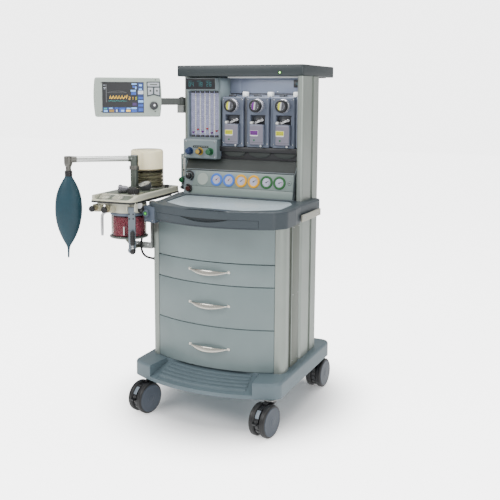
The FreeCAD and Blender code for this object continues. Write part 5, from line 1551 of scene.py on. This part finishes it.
def manometer():
    piece = Piece("airway_gauge", place=facing((-341, -121, 896), MANOMETER_OUT, up=(0, 0.95, 0.28)))
    piece.lathe([(-16.4, 21.4), (-6, 25.4), (8, 26.4), (10, 25.6), (10.6, 24.6), (10.6, 23.4), (7.4, 22.8)],
                DARK_GREY, segments=64)
    piece.lathe([(7, 22.4), (7.8, 22.4)], WHITE, segments=56, rounding=0.1)
    dial_ticks(piece, 31, 9, 20.8, (4.2, 2.2), 0.3, (7.7, 8.0))
    needle = turned(MANOMETER_NEEDLE)
    piece.prism([(-1.2, -7), (1.2, -7), (0.3, 18.5), (-0.3, 18.5)], (8.2, 8.7), BLACK, bevel=0, shift=needle)
    piece.lathe([(7.6, 3), (9, 2.6)], BLACK, segments=24)
    piece.lathe([(9, 23.2), (9.6, 23), (10.2, 12), (10.4, 0)], CLEAR, segments=48)
    piece.done(replaces=["manometer"])
    leg = Piece("airway_gauge_leg", place=Matrix.Translation((-343, -118, PLATE_TOP)))
    leg.lathe([(-0.3, 13), (2, 13), (3, 10.4), (12, 10.4)], RING_METAL)
    leg.done()


# ---- gas hose -----------------------------------------------------------------------------
HOSE_ROUTE = ((-0.346, -0.134, 0.836), (-0.350, -0.136, 0.782), (-0.350, -0.135, 0.730),
              (-0.348, -0.136, 0.689), (-0.341, -0.157, 0.664), (-0.336, -0.165, 0.637),
              (-0.329, -0.157, 0.611), (-0.315, -0.134, 0.595), (-0.294, -0.114, 0.591))
HOSE_DIAMETER = 0.009


def gas_hose():
    curve = bpy.data.curves.new("gas_hose_line", "CURVE")
    curve.dimensions = "3D"
    line = curve.splines.new("NURBS")
    line.points.add(len(HOSE_ROUTE) - 1)
    for point, spot in zip(line.points, HOSE_ROUTE):
        point.co = (*spot, 1.0)
    line.order_u = 3
    line.use_endpoint_u = True
    line.resolution_u = 24
    curve.bevel_depth = HOSE_DIAMETER / 2
    curve.bevel_resolution = 5
    curve.use_fill_caps = True
    hose = bpy.data.objects.new("gas_hose_tube", curve)
    curve.materials.append(RUBBER)
    bpy.context.scene.collection.objects.link(hose)
    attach(hose, "machine")
    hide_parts("gas_hose")
    sleeves = Piece("hose_ferrules")
    sleeves.lathe([(0, 8), (10, 7.4), (16, 5.6)], CHARCOAL, at=(-346, -134, 837), axis=(-0.13, -0.06, -1),
                  segments=28)
    sleeves.lathe([(0, 9), (3, 9), (12, 6.2)], CHARCOAL, at=(-294.6, -114.5, 591.1),
                  axis=(-0.71, -0.68, 0.14), segments=28)
    sleeves.done()


# ---- floor, lights and camera ----------------------------------------------------------------
def soft_light(name, at, target, size, power, seen=True):
    light = bpy.data.lights.new(name, "AREA")
    light.shape = "RECTANGLE"
    light.size = size[0]
    light.size_y = size[1]
    light.energy = power
    holder = bpy.data.objects.new(name, light)
    holder.location = at
    holder.visible_camera = seen
    holder.rotation_euler = (Vector(target) - Vector(at)).to_track_quat("-Z", "Y").to_euler()
    bpy.context.scene.collection.objects.link(holder)


FLOOR_FADE = (0.26, 0.66)      # metres from the machine over which the painted glow turns the floor white
FLOOR_WHITE = 3.9
WORLD_WHITE = 5.4


def shade_floor(tree, shader):
    """Painted light on the floor: a glow seen by the camera only, none near the machine and rising away from
    it, so the floor looks darker near the machine as a painted shadow and white away from it.
    """
    place = tree.nodes.new("ShaderNodeTexCoord").outputs["Object"]
    flat = add(tree, "Mapping", {"Location": (-0.02, -0.02, 0), "Scale": (1.0, 0.92, 0), "Vector": place})
    away = add(tree, "VectorMath", {0: flat.outputs["Vector"]})
    away.operation = "LENGTH"
    fade = add(tree, "MapRange", {"From Min": FLOOR_FADE[0], "From Max": FLOOR_FADE[1], "To Min": 0.0,
                                  "To Max": FLOOR_WHITE, "Value": away.outputs["Value"]})
    fade.interpolation_type = "SMOOTHERSTEP"
    seen = tree.nodes.new("ShaderNodeLightPath").outputs["Is Camera Ray"]
    pick = add(tree, "Mix", {"Factor": seen, "A": 0.5, "B": fade.outputs["Result"]})
    feed(tree, shader, {"Emission Strength": pick.outputs["Result"]})


def studio():
    floor_mesh = bpy.data.meshes.new("floor")
    half = 14.0
    corners = [(*corner, 0) for corner in rectangle((-half, half), (-half, half))]
    floor_mesh.from_pydata(corners, [], [(0, 1, 2, 3)])
    floor = bpy.data.objects.new("floor", floor_mesh)
    pale = surface("floor_pale", "FAFAFA", rough=0.8, mottle=0.01, grain=0.0, wear_and_edge_highlight=0.0)
    shader = next(n for n in pale.node_tree.nodes if n.type == "BSDF_PRINCIPLED")
    shader.inputs["Emission Color"].default_value = (1, 1, 1, 1)
    shade_floor(pale.node_tree, shader)
    floor_mesh.materials.append(pale)
    bpy.context.scene.collection.objects.link(floor)
    middle = (0.0, 0.0, 0.7)       # metres, as are all the lights' places
    soft_light("key", (-1.8, -3.2, 3.4), middle, (2.6, 2.0), 125)
    soft_light("fill", (3.2, -2.4, 1.8), middle, (2.2, 2.2), 55)
    soft_light("overhead", (0.2, 0.4, 3.8), middle, (3.0, 3.0), 120)
    soft_light("canopy", (0.09, 0.11, 1.332), (0.09, 0.13, 1.0), (0.30, 0.04), 0.55, seen=False)
    world = bpy.data.worlds.new("studio")
    world.use_nodes = True
    tree = world.node_tree
    background = next(n for n in tree.nodes if n.type == "BACKGROUND")
    feed(tree, background, {"Color": (1, 1, 1, 1), "Strength": 0.62})
    bright = add(tree, "Background", {"Strength": WORLD_WHITE})
    seen = tree.nodes.new("ShaderNodeLightPath").outputs["Is Camera Ray"]
    pick = add(tree, "MixShader", {"Fac": seen, 1: background.outputs["Background"],
                                   2: bright.outputs["Background"]})
    output = next(n for n in tree.nodes if n.type == "OUTPUT_WORLD")
    feed(tree, output, {"Surface": pick.outputs["Shader"]})
    bpy.context.scene.world = world


CAMERA_AT = (1.3523, -2.7943, 1.2760)
CAMERA_AZIMUTH = 25.076     # degrees to the object's right of straight ahead
CAMERA_PITCH = 7.948        # degrees below the horizon
CAMERA_ROLL = 0.285
CAMERA_LENS = 55.084
CAMERA_SHIFT = (0.0158, -0.10)


def photo_camera():
    data = bpy.data.cameras.new("camera")
    data.lens = CAMERA_LENS
    data.sensor_width = 36.0
    data.shift_x, data.shift_y = CAMERA_SHIFT
    camera = bpy.data.objects.new("camera", data)
    azimuth, pitch = math.radians(CAMERA_AZIMUTH), math.radians(CAMERA_PITCH)
    ahead = Vector((-math.sin(azimuth) * math.cos(pitch), math.cos(azimuth) * math.cos(pitch),
                    -math.sin(pitch)))
    turn = ahead.to_track_quat("-Z", "Y") @ Matrix.Rotation(math.radians(CAMERA_ROLL), 3, "Z").to_quaternion()
    camera.rotation_mode = "QUATERNION"
    camera.rotation_quaternion = turn
    camera.location = CAMERA_AT
    bpy.context.scene.collection.objects.link(camera)
    bpy.context.scene.camera = camera


def main():
    for make in (dress_cad_nodes, top_shelf, flow_display, flow_tubes, flow_knobs, auxiliary_flowmeter,
                 back_wall, vaporizers, gauge_panel, worktop_details, drawers, cabinet_trim, rear_panels,
                 castor_wheels, castor_hoods, monitor_screen, monitor_keys, monitor_housing, absorber_plate,
                 breathing_ports, canister, canister_guard, canister_lever, support_bracket, post_and_arm,
                 breathing_bag, bellows, plate_controls, manometer, gas_hose, studio, photo_camera):
        make()


main()
